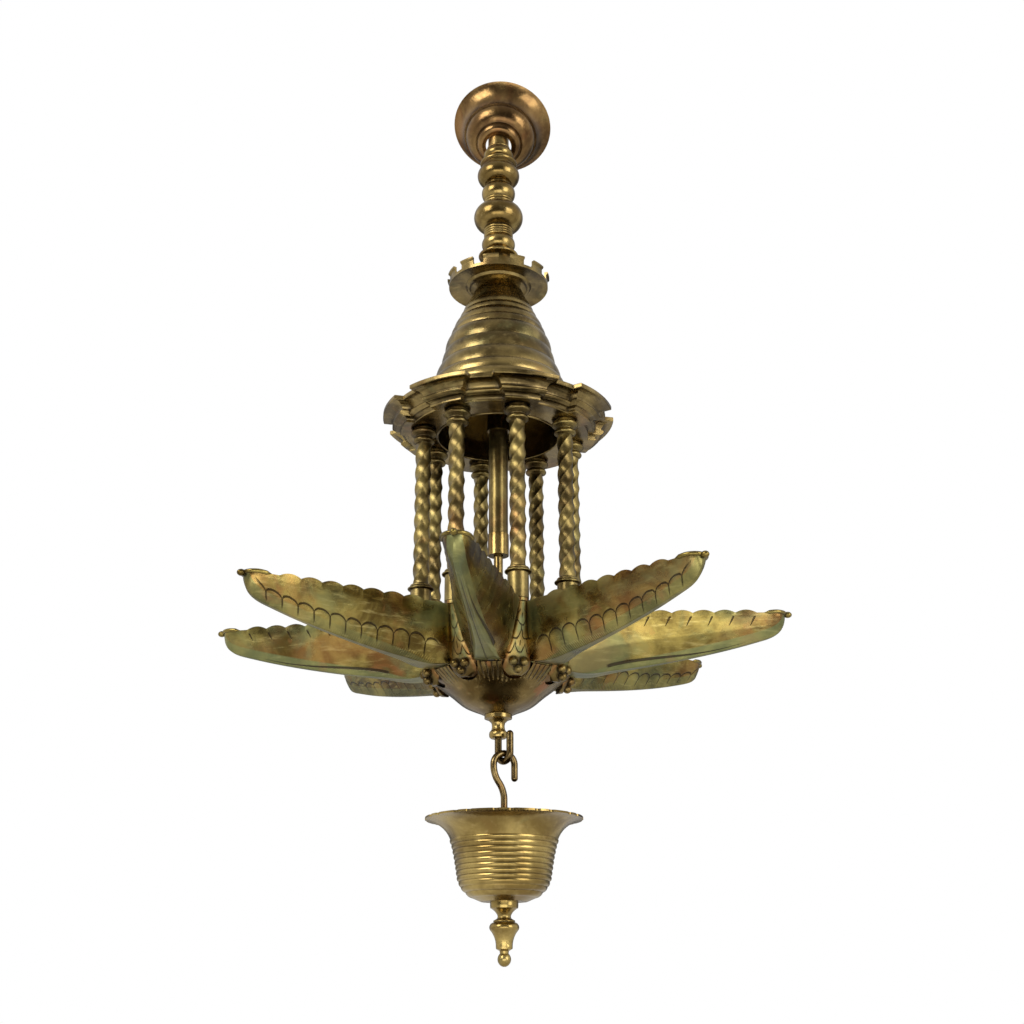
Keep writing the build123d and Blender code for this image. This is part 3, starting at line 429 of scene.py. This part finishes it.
def lipTube(patch):
    # the rolled bead round the mouth, and the nib
    s = spoutLook
    t = np.linspace(0, 1, s["lipRows"])
    angle = (t - 0.5) * 2 * (math.pi / 2 - s["lipSpread"])
    run = np.cos(angle)
    px = s["noseStart"] + (s["noseEnd"] - s["noseStart"]) * run
    wide = smoothTable(s["stations"], s["edge"], px / s["reach"]) * s["halfWidth"]
    py = wide * noseShare(px, 0.0) * np.sign(angle)
    pz = s["edgeZ"] + lipRise(px)
    dx, dy = np.gradient(px), np.gradient(py)
    size = np.maximum(np.hypot(dx, dy), 1e-9)
    nx, ny = -dy / size, dx / size
    ring = np.linspace(0, 2 * math.pi, s["lipSides"])[None, :]
    radius = s["lipRadius"] * np.clip(np.minimum(t, 1 - t) * s["lipTaper"], s["lipLeast"], 1)[:, None]
    x = px[:, None] + nx[:, None] * radius * np.cos(ring)
    y = py[:, None] + ny[:, None] * radius * np.cos(ring)
    z = pz[:, None] + radius * np.sin(ring)
    patch.grid(x, y, z, x / mapUnit, y * 0 + plainMap)
    # the nib: a short drop on the lip's front
    half = np.linspace(0, math.pi, s["nibRows"])[:, None]
    nibX, nibLift = s["nib"]
    long, wide, high = s["nibSize"]
    x = nibX - long * np.cos(half) + 0 * ring
    y = wide * np.sin(half) * np.cos(ring)
    z = s["edgeZ"] + nibLift + high * np.sin(half) * np.sin(ring)
    patch.grid(x, y, z, x / mapUnit, y * 0 + plainMap)


archedLook = {
    "height": 12.5, "rootHeight": 8.5, "heightRun": (90.0, 235.0), "keel": 1.0, "rootKeel": 7.0,
    "keelRun": (70.0, 150.0), "keelWobble": 0.5, "firstArch": 87.0, "pitch": 14.1, "lean": 5.0,
    "leanFrom": 0.75, "capFoot": 0.70, "capRise": 0.30, "line": (0.35, 1.0), "shadeDepth": (0.0, 0.22),
    "shadeFoot": (0.0, 0.05), "shadeTop": (-0.04, 0.0), "legSlope": 7.0, "legTop": (0.72, 0.76),
    "leg": (0.25, 0.85), "legFoot": (0.10, 0.45), "strokeHeight": (0.10, 0.42), "strokeRun": (120.0, 190.0),
    "strokeLean": 0.3, "strokePitch": 1.9, "stroke": (0.12, 0.34), "legDepth": 0.9, "shadeAmount": 0.3,
    "strokeDepth": 0.55, "root": (72.0, 80.0), "nose": (233.0, 240.0), "keelGreen": 0.28,
}
plainLook = {
    "wedgeLow": 4.0, "wedgeRise": 6.5, "wedgeRun": (96.0, 190.0), "wedgeWidth": 0.25, "rootWidth": 1.25,
    "widthRun": (96.0, 205.0), "wedge": (0.6, 1.2), "wedgeRoot": (92.0, 94.5), "wedgeTip": (190.0, 215.0),
    "keelLine": (0.2, 0.7), "keelDepth": 0.7, "keelRoot": (64.0, 70.0), "keelTip": (200.0, 225.0),
    "firstNotch": 96.0, "pitch": 17.71, "dashLean": 0.55, "dashWobble": 0.4, "dashWidth": 0.35,
    "dashTop": 0.45, "dashTaper": (4.0, 10.0), "dash": (0.5, 1.2), "dashStart": (2.6, 3.6),
    "dashEnd": (9.0, 10.5), "dashRoot": (90.0, 92.0), "dashNose": (222.0, 224.0), "keelGreen": 0.5,
}
stainLook = {
    "outside": (500.0, 520.0), "wobbleNoise": (14.0, 2.0), "wobble": 1.6, "flankFrom": 9.5,
    "flank": (0.0, 1.5), "redNoise": (22.0, 4.0, 0.6, 1.0), "redEnds": (0.56, 0.72), "redAmount": 0.5,
    "flankNoise": (9.0, 3.0, 0.6, 0.6), "flankEnds": (0.46, 0.62), "flankAmount": 0.35,
    "greenNoise": (16.0, 4.0, 0.6, 0.5), "greenEnds": (0.46, 0.64), "greenAmount": 0.42,
}


def archedCut(x, arc, wobble):
    # overlapping scales: round tops between slanting legs that fade towards the keel
    s = archedLook
    height = s["height"] + x.step(*s["heightRun"], back=True) * s["rootHeight"]
    keel = s["keel"] + x.step(*s["keelRun"], back=True) * s["rootKeel"]
    rise = ((arc - keel + wobble * s["keelWobble"]) / height).most(0.0)
    cell = (x - s["firstArch"] + wobble + (s["leanFrom"] - rise) * s["lean"]) / s["pitch"]
    offset = (cell % 1.0) * 2.0 - 1.0
    cap = s["capFoot"] + ((1.0 - offset * offset).most(0.0) ** 0.5) * s["capRise"]
    arch = (abs(rise - cap) * height).step(*s["line"], back=True)
    under = cap - rise
    shade = under.step(*s["shadeDepth"], back=True) * rise.step(*s["shadeFoot"]) * under.step(*s["shadeTop"])
    side = (1.0 - abs(offset)) * s["legSlope"]
    below = rise.step(*s["legTop"], back=True)
    leg = side.step(*s["leg"], back=True) * rise.step(*s["legFoot"]) * below
    nearKeel = rise.step(*s["strokeHeight"], back=True) * x.step(*s["strokeRun"], back=True)
    strokes = abs(((x + arc * s["strokeLean"]) / s["strokePitch"]) % 1.0 - 0.5).step(*s["stroke"], back=True)
    cut = arch.most(leg * s["legDepth"]).most(shade * s["shadeAmount"])
    cut = cut.most(nearKeel * strokes * s["strokeDepth"])
    return cut * x.step(*s["root"]) * x.step(*s["nose"], back=True)


def plainCut(x, arc, wobble, objectPlace):
    # a long wedge on each side of the keel, widest at the root, and a fine line along the keel
    s = plainLook
    low = s["wedgeLow"] + x.step(*s["wedgeRun"], back=True) * s["wedgeRise"]
    width = s["wedgeWidth"] + x.step(*s["widthRun"], back=True) * s["rootWidth"]
    wedge = (abs(arc - low) / width).step(*s["wedge"], back=True)
    wedge = wedge * x.step(*s["wedgeRoot"]) * x.step(*s["wedgeTip"], back=True)
    keelLine = arc.step(*s["keelLine"], back=True) * s["keelDepth"]
    keelLine = keelLine * x.step(*s["keelRoot"]) * x.step(*s["keelTip"], back=True)
    # a short slanting dash under each notch of the scalloped edge
    drop = spoutLook["edgeZ"] - separated(objectPlace, 2) / mm + starZ
    cell = ((x - s["firstNotch"] + drop * s["dashLean"] + wobble * s["dashWobble"]) / s["pitch"]) % 1.0
    near = (0.5 - abs(cell - 0.5)) * s["pitch"]
    dashWidth = s["dashWidth"] + drop.step(*s["dashTaper"], back=True) * s["dashTop"]
    dash = (near / dashWidth).step(*s["dash"], back=True)
    dash = dash * drop.step(*s["dashStart"]) * drop.step(*s["dashEnd"], back=True)
    dash = dash * x.step(*s["dashRoot"]) * x.step(*s["dashNose"], back=True)
    return wedge.most(keelLine).most(dash)


def spoutPattern(kind):
    # engraved lines and stains, from the distance along the spout and the arc from the keel, in mm
    def pattern(tree):
        s = stainLook
        source = tree.nodes.new("ShaderNodeUVMap")
        source.uv_map = "place"
        place = Field(tree, source.outputs[0])
        objectPlace = Field(tree, tree.nodes.new("ShaderNodeTexCoord").outputs["Object"])
        x = separated(place, 0) * mapUnit
        arc = abs(separated(place, 1)) * mapUnit
        outside = arc.step(*s["outside"], back=True)
        wobble = (place.noise(*s["wobbleNoise"]) - 0.5) * s["wobble"]
        if kind == "arched":
            cut, keelGreen = archedCut(x, arc, wobble), archedLook["keelGreen"]
        else:
            cut, keelGreen = plainCut(x, arc, wobble, objectPlace), plainLook["keelGreen"]
        flank = (arc - s["flankFrom"]).step(*s["flank"])
        red = objectPlace.noise(*s["redNoise"]).step(*s["redEnds"]) * s["redAmount"]
        flankRed = objectPlace.noise(*s["flankNoise"]).step(*s["flankEnds"]) * flank * s["flankAmount"]
        green = objectPlace.noise(*s["greenNoise"]).step(*s["greenEnds"]) * s["greenAmount"]
        green = green.most((1.0 - flank) * keelGreen)
        return cut * outside, green * outside, red.most(flankRed) * outside
    return pattern


# spouts: a stronger painted highlight along longer streaks
spoutColours = look(deep="4a3c1c", body="8c7c42", shine="c8b878", engravedDepth=0.0007,
                    streakShape=(0.35, 0.35, 2.2), shineAmount=0.3)
spoutMaterials = {
    "archedSpout": brassMaterial("archedSpout", spoutColours, spoutPattern("arched")),
    "plainSpout": brassMaterial("plainSpout", spoutColours, spoutPattern("plain")),
}
for index in range(sectorCount):
    leafSpout(index)
print("spouts made")


# Corner leaves and calyx
def sectorPlace(tree):
    # place, then distance from the axis, offset across the middle of the sector and height over the tips
    # in mm, then the azimuth in degrees
    place = Field(tree, tree.nodes.new("ShaderNodeTexCoord").outputs["Object"])
    x, y, z = [separated(place, i) / mm for i in range(3)]
    azimuth = x.math("ARCTAN2", x, -y) * (180.0 / math.pi)
    local = (azimuth % sectorAngle - sectorAngle / 2) * (math.pi / 180.0)
    radius = (x * x + y * y) ** 0.5
    return {"place": place, "radius": radius, "across": radius * local.sine(), "height": z - starZ,
            "azimuth": azimuth}


cornerCutLook = {
    "wobbleNoise": (160.0, 2.0), "wobble": 0.5, "foot": -46.0, "rowHeight": 10.5, "scaleWidth": 8.6,
    "rowShift": 0.5, "cellWobble": 0.4, "scaleRound": 0.75, "line": (0.04, 0.11), "rib": (0.15, 0.5),
    "ribFoot": (0.5, 0.7), "ribDepth": 0.7, "start": (9.0, 12.0), "end": (-4.0, 0.0), "berries": (6.0, 9.0),
    "sideSlope": -0.13, "sideHalf": 3.2, "sideRed": (-1.2, 1.5), "redAmount": 0.45,
    "greenNoise": (90.0, 3.0), "greenEnds": (0.36, 0.56), "greenAmount": 0.55, "greenSide": (-3.0, -0.8),
    "sideCut": (1.6, 3.2), "sideDepth": 0.7, "berryDark": 0.4,
}


def cornerPattern(tree):
    # overlapping scales with a rib each, over a plain foot with berries
    s = cornerCutLook
    where = sectorPlace(tree)
    place, across, height = where["place"], where["across"], where["height"]
    wobble = (place.noise(*s["wobbleNoise"]) - 0.5) * s["wobble"]
    raised = height - s["foot"]
    rows = raised / s["rowHeight"] + wobble
    row = rows.math("FLOOR", rows)
    cell = (across / s["scaleWidth"] + row * s["rowShift"] + wobble * s["cellWobble"]) % 1.0
    offset = cell * 2.0 - 1.0
    line = abs((rows - row) - s["scaleRound"] * offset * offset).step(*s["line"], back=True)
    rib = abs(across).step(*s["rib"], back=True) * (rows - row).step(*s["ribFoot"])
    cut = line.most(rib * s["ribDepth"]) * raised.step(*s["start"]) * height.step(*s["end"], back=True)
    berries = raised.step(*s["berries"], back=True)
    side = abs(across) - (height * s["sideSlope"] + s["sideHalf"])
    green = place.noise(*s["greenNoise"]).step(*s["greenEnds"]) * s["greenAmount"]
    green = green * side.step(*s["greenSide"], back=True) * (1.0 - berries)
    cut = cut.most(side.step(*s["sideCut"]) * s["sideDepth"]).most(berries * s["berryDark"])
    return cut, green, side.step(*s["sideRed"]) * s["redAmount"]


calyxCutLook = {
    "strokes": 10.0, "wobbleNoise": (60.0, 2.0), "wobble": 0.5, "reachNoise": (110.0, 2.0),
    "reachSpread": 16.0, "reach": 38.0, "stroke": (0.06, 0.20), "strokeStart": (0.0, 4.0),
    "darkNoise": (24.0, 5.0, 0.6, 0.6), "darkEnds": (0.50, 0.60), "darkReach": (14.0, 40.0),
    "darkAmount": 0.5, "redNoise": (38.0, 3.0, 0.5, 0.5), "redEnds": (0.60, 0.70), "redAmount": 0.7,
}


def calyxPattern(tree):
    # short strokes down from the rim, tarnish round the socket and copper stains
    s = calyxCutLook
    where = sectorPlace(tree)
    place, radius = where["place"], where["radius"]
    wobble = (place.noise(*s["wobbleNoise"]) - 0.5) * s["wobble"]
    near = abs((where["azimuth"] / sectorAngle * s["strokes"] + wobble) % 1.0 - 0.5)
    reach = place.noise(*s["reachNoise"]) * s["reachSpread"] + s["reach"]
    stroke = near.step(*s["stroke"], back=True) * (radius - reach).step(*s["strokeStart"])
    dark = place.noise(*s["darkNoise"]).step(*s["darkEnds"])
    dark = dark * radius.step(*s["darkReach"], back=True) * s["darkAmount"]
    red = place.noise(*s["redNoise"]).step(*s["redEnds"]) * s["redAmount"]
    return stroke.most(dark), None, red


cornerLook = {
    "foot": -51.5, "edge": 4.9, "reachLow": 57.5, "reachHigh": 77.6, "bulge": 1.6, "back": 6.0,
    "roundShare": 0.96, "topRound": 0.35, "backStart": 3.5, "backLean": 4.0, "canopyTurn": -1.5,
    "columnCircle": 68.7, "berryRadius": 3.9,
    "berries": ((61.6, 0.0, -47.6), (63.6, -4.7, -41.8), (63.6, 4.7, -41.8)),
    "halfShares": (0.0, 0.05, 0.14, 0.3, 0.5, 0.75, 1.0), "halves": (5.0, 8.8, 11.6, 10.6, 7.6, 5.0, 3.8),
    "drum": ((0.0, 8.95), (8.3, 8.95), (8.85, 8.5), (8.85, 6.0), (8.3, 5.4), (0.0, 5.4)),
    "rows": 81, "columns": 33, "ringSteps": 33, "polarSteps": 25,
}


def cornerLeaf(index):
    # a leaf with a rounded front between two spouts, three berries at its foot and the column's seat on top
    s = cornerLook
    patch = Patch()
    t = np.linspace(0, 1, s["rows"])[:, None]
    across = np.linspace(-1, 1, s["columns"])[None, :]
    half = smoothTable(s["halfShares"], s["halves"], t)
    front = s["reachLow"] + (s["reachHigh"] - s["reachLow"]) * t + s["bulge"] * np.sin(math.pi * t)
    height = s["foot"] + (s["edge"] - s["foot"]) * t + 0 * across
    # the front is round across and turns back to the spouts at its sides
    turnBack = s["back"] * (1 - np.sqrt(np.maximum(1 - s["roundShare"] * across**2, 0.0)))
    frontX = front - turnBack * (s["topRound"] + (1 - s["topRound"]) * (1 - t))
    backX = 0 * frontX + s["reachLow"] - s["backStart"] + s["backLean"] * t
    y = half * across
    patch.grid(frontX, y, height, frontX / mapUnit, height / mapUnit)
    patch.grid(backX, y, height, backX / mapUnit, height / mapUnit, flip=True)
    for column, flip in ((0, False), (-1, True)):
        gx = np.stack([backX[:, column], frontX[:, column]], axis=1)
        gy, gz = [np.stack([values[:, column]] * 2, axis=1) for values in (y, height)]
        patch.grid(gx, gy, gz, gx / mapUnit, gz / mapUnit, flip=flip)
    for row, flip in ((0, True), (-1, False)):
        gx = np.stack([frontX[row], backX[row]], axis=0)
        gy, gz = [np.stack([values[row]] * 2, axis=0) for values in (y, height)]
        patch.grid(gx, gy, gz, gx / mapUnit, gz / mapUnit, flip=flip)
    ring = np.linspace(0, 2 * math.pi, s["ringSteps"])[None, :]
    polar = np.linspace(0, math.pi, s["polarSteps"])[:, None]
    size = s["berryRadius"]
    for berryX, berryY, berryZ in s["berries"]:
        patch.grid(berryX + size * np.sin(polar) * np.cos(ring), berryY + size * np.sin(polar) * np.sin(ring),
                   berryZ + size * np.cos(polar) + 0 * ring, polar + 0 * ring, ring + 0 * polar, flip=True)
    # the seat: a short drum under the pedestal, turned with the canopy
    small = math.radians(s["canopyTurn"])
    seatX, seatY = s["columnCircle"] * math.cos(small), s["columnCircle"] * math.sin(small)
    for (r0, z0), (r1, z1) in zip(s["drum"], s["drum"][1:]):
        radius = np.array([[r0], [r1]])
        level = np.array([[z0], [z1]])
        patch.grid(seatX + radius * np.cos(ring), seatY + radius * np.sin(ring), level + 0 * ring,
                   radius + 0 * ring, radius + 0 * ring, flip=True)
    number = str(index + 1)
    patch.build("corner_" + number, "lamp", cornerBrass, ["corner_leaf_" + number],
                turn=math.radians(sectorAngle * (index + 0.5)), shift=(0, 0, starZ))


starLook = look(deep="564524", body="887548", greenAmount=0.3)
cornerBrass = brassMaterial("cornerBrass", dict(starLook, engravedDepth=0.0009, body="8b7846", rough=0.32),
                            cornerPattern)
calyxBrass = brassMaterial("calyxBrass", dict(starLook, engravedDepth=0.0008, engravedDark=0.75,
                                              body="7c6940"), calyxPattern)
frame["nodes"]["calyx"].data.materials[0] = calyxBrass
for index in range(sectorCount):
    cornerLeaf(index)
print("corner leaves made")


# Moulded ring
ringLook = {
    "radius": 97.5, "blockRadius": 104.9, "canopyTurn": -1.5, "top": 200.0, "soffit": 180.8, "bore": 54.3,
    "beadOuter": 56.3, "beadDrop": 0.95, "cavityOuter": 73.5, "cavityInner": 57.8, "cavityFloor": 183.0,
    "frontSteps": 33, "sideSteps": 4, "curveSteps": 15, "rollSteps": 13, "turnSteps": 241,
    # setback from the plan's edge, height and half width of the block where a curve starts, then its run
    "fillet": ((0.0, 199.5, 28.5), (0.0, 196.6, 28.5), (0.6, 196.0, 28.0)),
    "cove": ((2.4, 196.0, 27.4), (8.6, 6.4, 7.4)), "lowCove": ((12.9, 185.2, 18.2), (3.9, 2.7, 3.0)),
    "roll": ((9.4, 189.4, 20.6), (2.2, 3.9, 1.4)), "rollBulge": 1.2,
    "topEdge": (0.5, 200.0, 28.1), "rollFoot": (11.9, 185.2, 19.0),
    "foot": ((15.8, 182.5, 15.6), (15.8, 181.3, 15.6), (16.3, 180.8, 15.2)),
}


def ringProfile():
    # runs of rows (setback, height, half width), each run with its own normals
    s = ringLook

    def hollow(start, run):
        return [(start[0] + run[0] * math.sin(t), start[1] - run[1] * (1 - math.cos(t)),
                 start[2] - run[2] * math.sin(t)) for t in np.linspace(0, math.pi / 2, s["curveSteps"])]

    cove, lowCove = hollow(*s["cove"]), hollow(*s["lowCove"])
    start, run = s["roll"]
    roll = [(start[0] - s["rollBulge"] * math.sin(math.pi * t) + run[0] * t * t, start[1] - run[1] * t,
             start[2] - run[2] * t) for t in np.linspace(0, 1, s["rollSteps"])]
    corner, edge, lower = s["fillet"]
    high, low, last = s["foot"]
    return [[s["topEdge"], corner], [corner, edge], [edge, lower], [lower, cove[0]], cove,
            [cove[-1], roll[0]], roll, [roll[-1], s["rollFoot"], lowCove[0]], lowCove,
            [lowCove[-1], high], [high, low], [low, last]]


def ringPlan(index, kind, rows):
    # angle, radius and height of one run along a block's front, a side of it or the ring between two blocks
    s = ringLook
    setBack, height, half = [np.asarray(column)[:, None] for column in zip(*rows)]
    front = s["blockRadius"] - setBack
    back = s["radius"] - setBack
    frontAngle = np.arcsin(half / front)
    backAngle = np.arcsin(half / back)
    middle = math.radians(sectorAngle * (index + 0.5) + s["canopyTurn"])
    if kind == "front":
        t = np.linspace(-1, 1, s["frontSteps"])[None, :]
        angle, radius = frontAngle * t, front + 0 * t
    elif kind == "between":
        t = np.linspace(0, 1, s["frontSteps"])[None, :]
        angle, radius = backAngle + (math.radians(sectorAngle) - 2 * backAngle) * t, back + 0 * t
    else:
        t = np.linspace(0, 1, s["sideSteps"])[None, :]
        sign = 1 if kind == "far" else -1
        start, end = (front, back) if kind == "far" else (back, front)
        deep = np.cos(np.arcsin(half / start)) * start * (1 - t) + np.cos(np.arcsin(half / end)) * end * t
        angle, radius = np.arctan2(sign * half + 0 * deep, deep), np.hypot(half, deep)
    return angle + middle, radius, height


def ringFace(patch, angle, radius, height, flip=True):
    angle = angle + 0 * radius
    patch.grid(radius * np.sin(angle), -radius * np.cos(angle), height + 0 * angle, angle, angle, flip=flip)


def ringTurned(patch, rows):
    # a turned face between circles: rows of (radius, height)
    angle = np.linspace(0, 2 * math.pi, ringLook["turnSteps"])[None, :]
    radius, height = [np.asarray(column, float)[:, None] for column in zip(*rows)]
    ringFace(patch, angle, radius, height)


def mouldedRing():
    s = ringLook
    patch = Patch()
    profile = ringProfile()
    ends = ((profile[0][0], s["cavityOuter"], False), (profile[-1][-1], s["beadOuter"], True))
    for index in range(sectorCount):
        for kind in ("near", "front", "far", "between"):
            for rows in profile:
                ringFace(patch, *ringPlan(index, kind, rows))
            for row, circle, flip in ends:
                angle, radius, height = ringPlan(index, kind, [row])
                radius = np.concatenate([radius, radius * 0 + circle])
                ringFace(patch, np.concatenate([angle, angle]), radius, height, flip)
    beadMiddle = (s["beadOuter"] + s["bore"]) / 2
    beadHalf = (s["beadOuter"] - s["bore"]) / 2
    ringTurned(patch, [(beadMiddle + beadHalf * math.cos(t), s["soffit"] - s["beadDrop"] * math.sin(t))
                       for t in np.linspace(0, math.pi, s["rollSteps"])])
    inside = [(s["bore"], s["soffit"]), (s["bore"], s["top"]), (s["cavityInner"], s["top"]),
              (s["cavityInner"], s["cavityFloor"]), (s["cavityOuter"], s["cavityFloor"]),
              (s["cavityOuter"], s["top"])]
    for start, end in zip(inside, inside[1:]):
        ringTurned(patch, [start, end])
    patch.build("moulded_ring_shown", "lamp", materials["canopy_brass"], ["moulded_ring"],
                shift=(0, 0, starZ), turn=math.pi / 2)


mouldedRing()
print("moulded ring made")


# The floor, the lights and the camera
stageLook = {
    "floorSize": 3.0, "floorZ": -1.15, "floorColour": (0.86, 0.86, 0.86, 1.0), "floorRough": 0.8,
    "glowUp": (0.0, 0.9), "glowUpAmount": 0.5, "glowSide": (0.55, 0.95), "glowSideAmount": 0.85,
    "glowBase": 0.16, "glowColour": (1.0, 0.985, 0.96, 1.0), "aim": (0.0, 0.0, -0.45),
}
lights = {
    "keyLight": {"spot": (-1.3, -1.5, 0.5), "size": (1.0, 1.2), "power": 34.0, "tint": (1.0, 0.98, 0.95)},
    "fillLight": {"spot": (1.6, -1.1, -0.2), "size": (1.0, 1.4), "power": 20.0, "tint": (1.0, 0.98, 0.96)},
    "lowLight": {"spot": (0.1, -1.3, -1.0), "size": (1.4, 0.6), "power": 9.0, "tint": (1.0, 0.99, 0.97)},
}
cameraLook = {
    "spoutTurn": 7.25, "distance": 1123.9, "height": -852.8, "yaw": 0.62, "pitch": 20.04, "roll": -0.19,
    "lens": 47.18, "sensor": 36.0, "clipEnd": 100.0,
}


def addObject(name, data):
    item = bpy.data.objects.new(name, data)
    bpy.context.scene.collection.objects.link(item)
    return item


def stageFloor():
    size, z = stageLook["floorSize"], stageLook["floorZ"]
    mesh = bpy.data.meshes.new("floor")
    corners = [(-size, -size, z), (size, -size, z), (size, size, z), (-size, size, z)]
    mesh.from_pydata(corners, [], [(0, 1, 2, 3)])
    material = bpy.data.materials.new("floor")
    material.use_nodes = True
    shader = material.node_tree.nodes["Principled BSDF"]
    shader.inputs["Base Color"].default_value = stageLook["floorColour"]
    shader.inputs["Roughness"].default_value = stageLook["floorRough"]
    mesh.materials.append(material)
    addObject("floor", mesh)


def studioWorld():
    # white to the camera, and brighter above and at both sides for what the brass reflects
    world = bpy.data.worlds.new("studio")
    bpy.context.scene.world = world
    world.use_nodes = True
    tree = world.node_tree
    tree.nodes.clear()
    output = tree.nodes.new("ShaderNodeOutputWorld")
    direction = Field(tree, tree.nodes.new("ShaderNodeTexCoord").outputs["Generated"])
    glow = separated(direction, 2).step(*stageLook["glowUp"]) * stageLook["glowUpAmount"]
    side = abs(separated(direction, 0)).step(*stageLook["glowSide"]) * stageLook["glowSideAmount"]
    reflected = tree.nodes.new("ShaderNodeBackground")
    direction.plug(reflected.inputs["Strength"], glow + side + stageLook["glowBase"])
    reflected.inputs["Color"].default_value = stageLook["glowColour"]
    white = tree.nodes.new("ShaderNodeBackground")
    white.inputs["Color"].default_value = (1.0, 1.0, 1.0, 1.0)
    path = tree.nodes.new("ShaderNodeLightPath")
    mixer = tree.nodes.new("ShaderNodeMixShader")
    tree.links.new(path.outputs["Is Camera Ray"], mixer.inputs[0])
    tree.links.new(reflected.outputs[0], mixer.inputs[1])
    tree.links.new(white.outputs[0], mixer.inputs[2])
    tree.links.new(mixer.outputs[0], output.inputs["Surface"])


def areaLight(name, values):
    data = bpy.data.lights.new(name, "AREA")
    data.shape = "RECTANGLE"
    data.size, data.size_y = values["size"]
    data.energy = values["power"]
    data.color = values["tint"]
    light = addObject(name, data)
    light.location = values["spot"]
    light.rotation_mode = "QUATERNION"
    aim = Vector(stageLook["aim"]) - Vector(values["spot"])
    light.rotation_quaternion = aim.to_track_quat("-Z", "Y")


def placeCamera():
    s = cameraLook
    turn, yaw, pitch, roll = [math.radians(s[name]) for name in ("spoutTurn", "yaw", "pitch", "roll")]
    forward = Vector((math.sin(yaw) * math.cos(pitch), math.cos(yaw) * math.cos(pitch), math.sin(pitch)))
    right = Vector((math.cos(yaw), -math.sin(yaw), 0.0))
    above = right.cross(forward)
    rolledRight = right * math.cos(roll) + above * math.sin(roll)
    rolledUp = above * math.cos(roll) - right * math.sin(roll)
    turned = Matrix.Rotation(turn, 3, "Z")
    axes = [turned @ rolledRight, turned @ rolledUp, turned @ -forward]
    spot = Vector((math.sin(turn), -math.cos(turn), 0.0)) * s["distance"] * mm
    spot.z = s["height"] * mm
    data = bpy.data.cameras.new("camera")
    data.sensor_width = s["sensor"]
    data.lens = s["lens"]
    data.clip_end = s["clipEnd"]
    camera = addObject("camera", data)
    camera.matrix_world = Matrix([(axes[0][i], axes[1][i], axes[2][i], spot[i]) for i in range(3)]
                                 + [(0.0, 0.0, 0.0, 1.0)])
    bpy.context.scene.camera = camera


stageFloor()
studioWorld()
for name, values in lights.items():
    areaLight(name, values)
placeCamera()
bpy.context.scene.view_settings.view_transform = "Standard"
print("camera set")
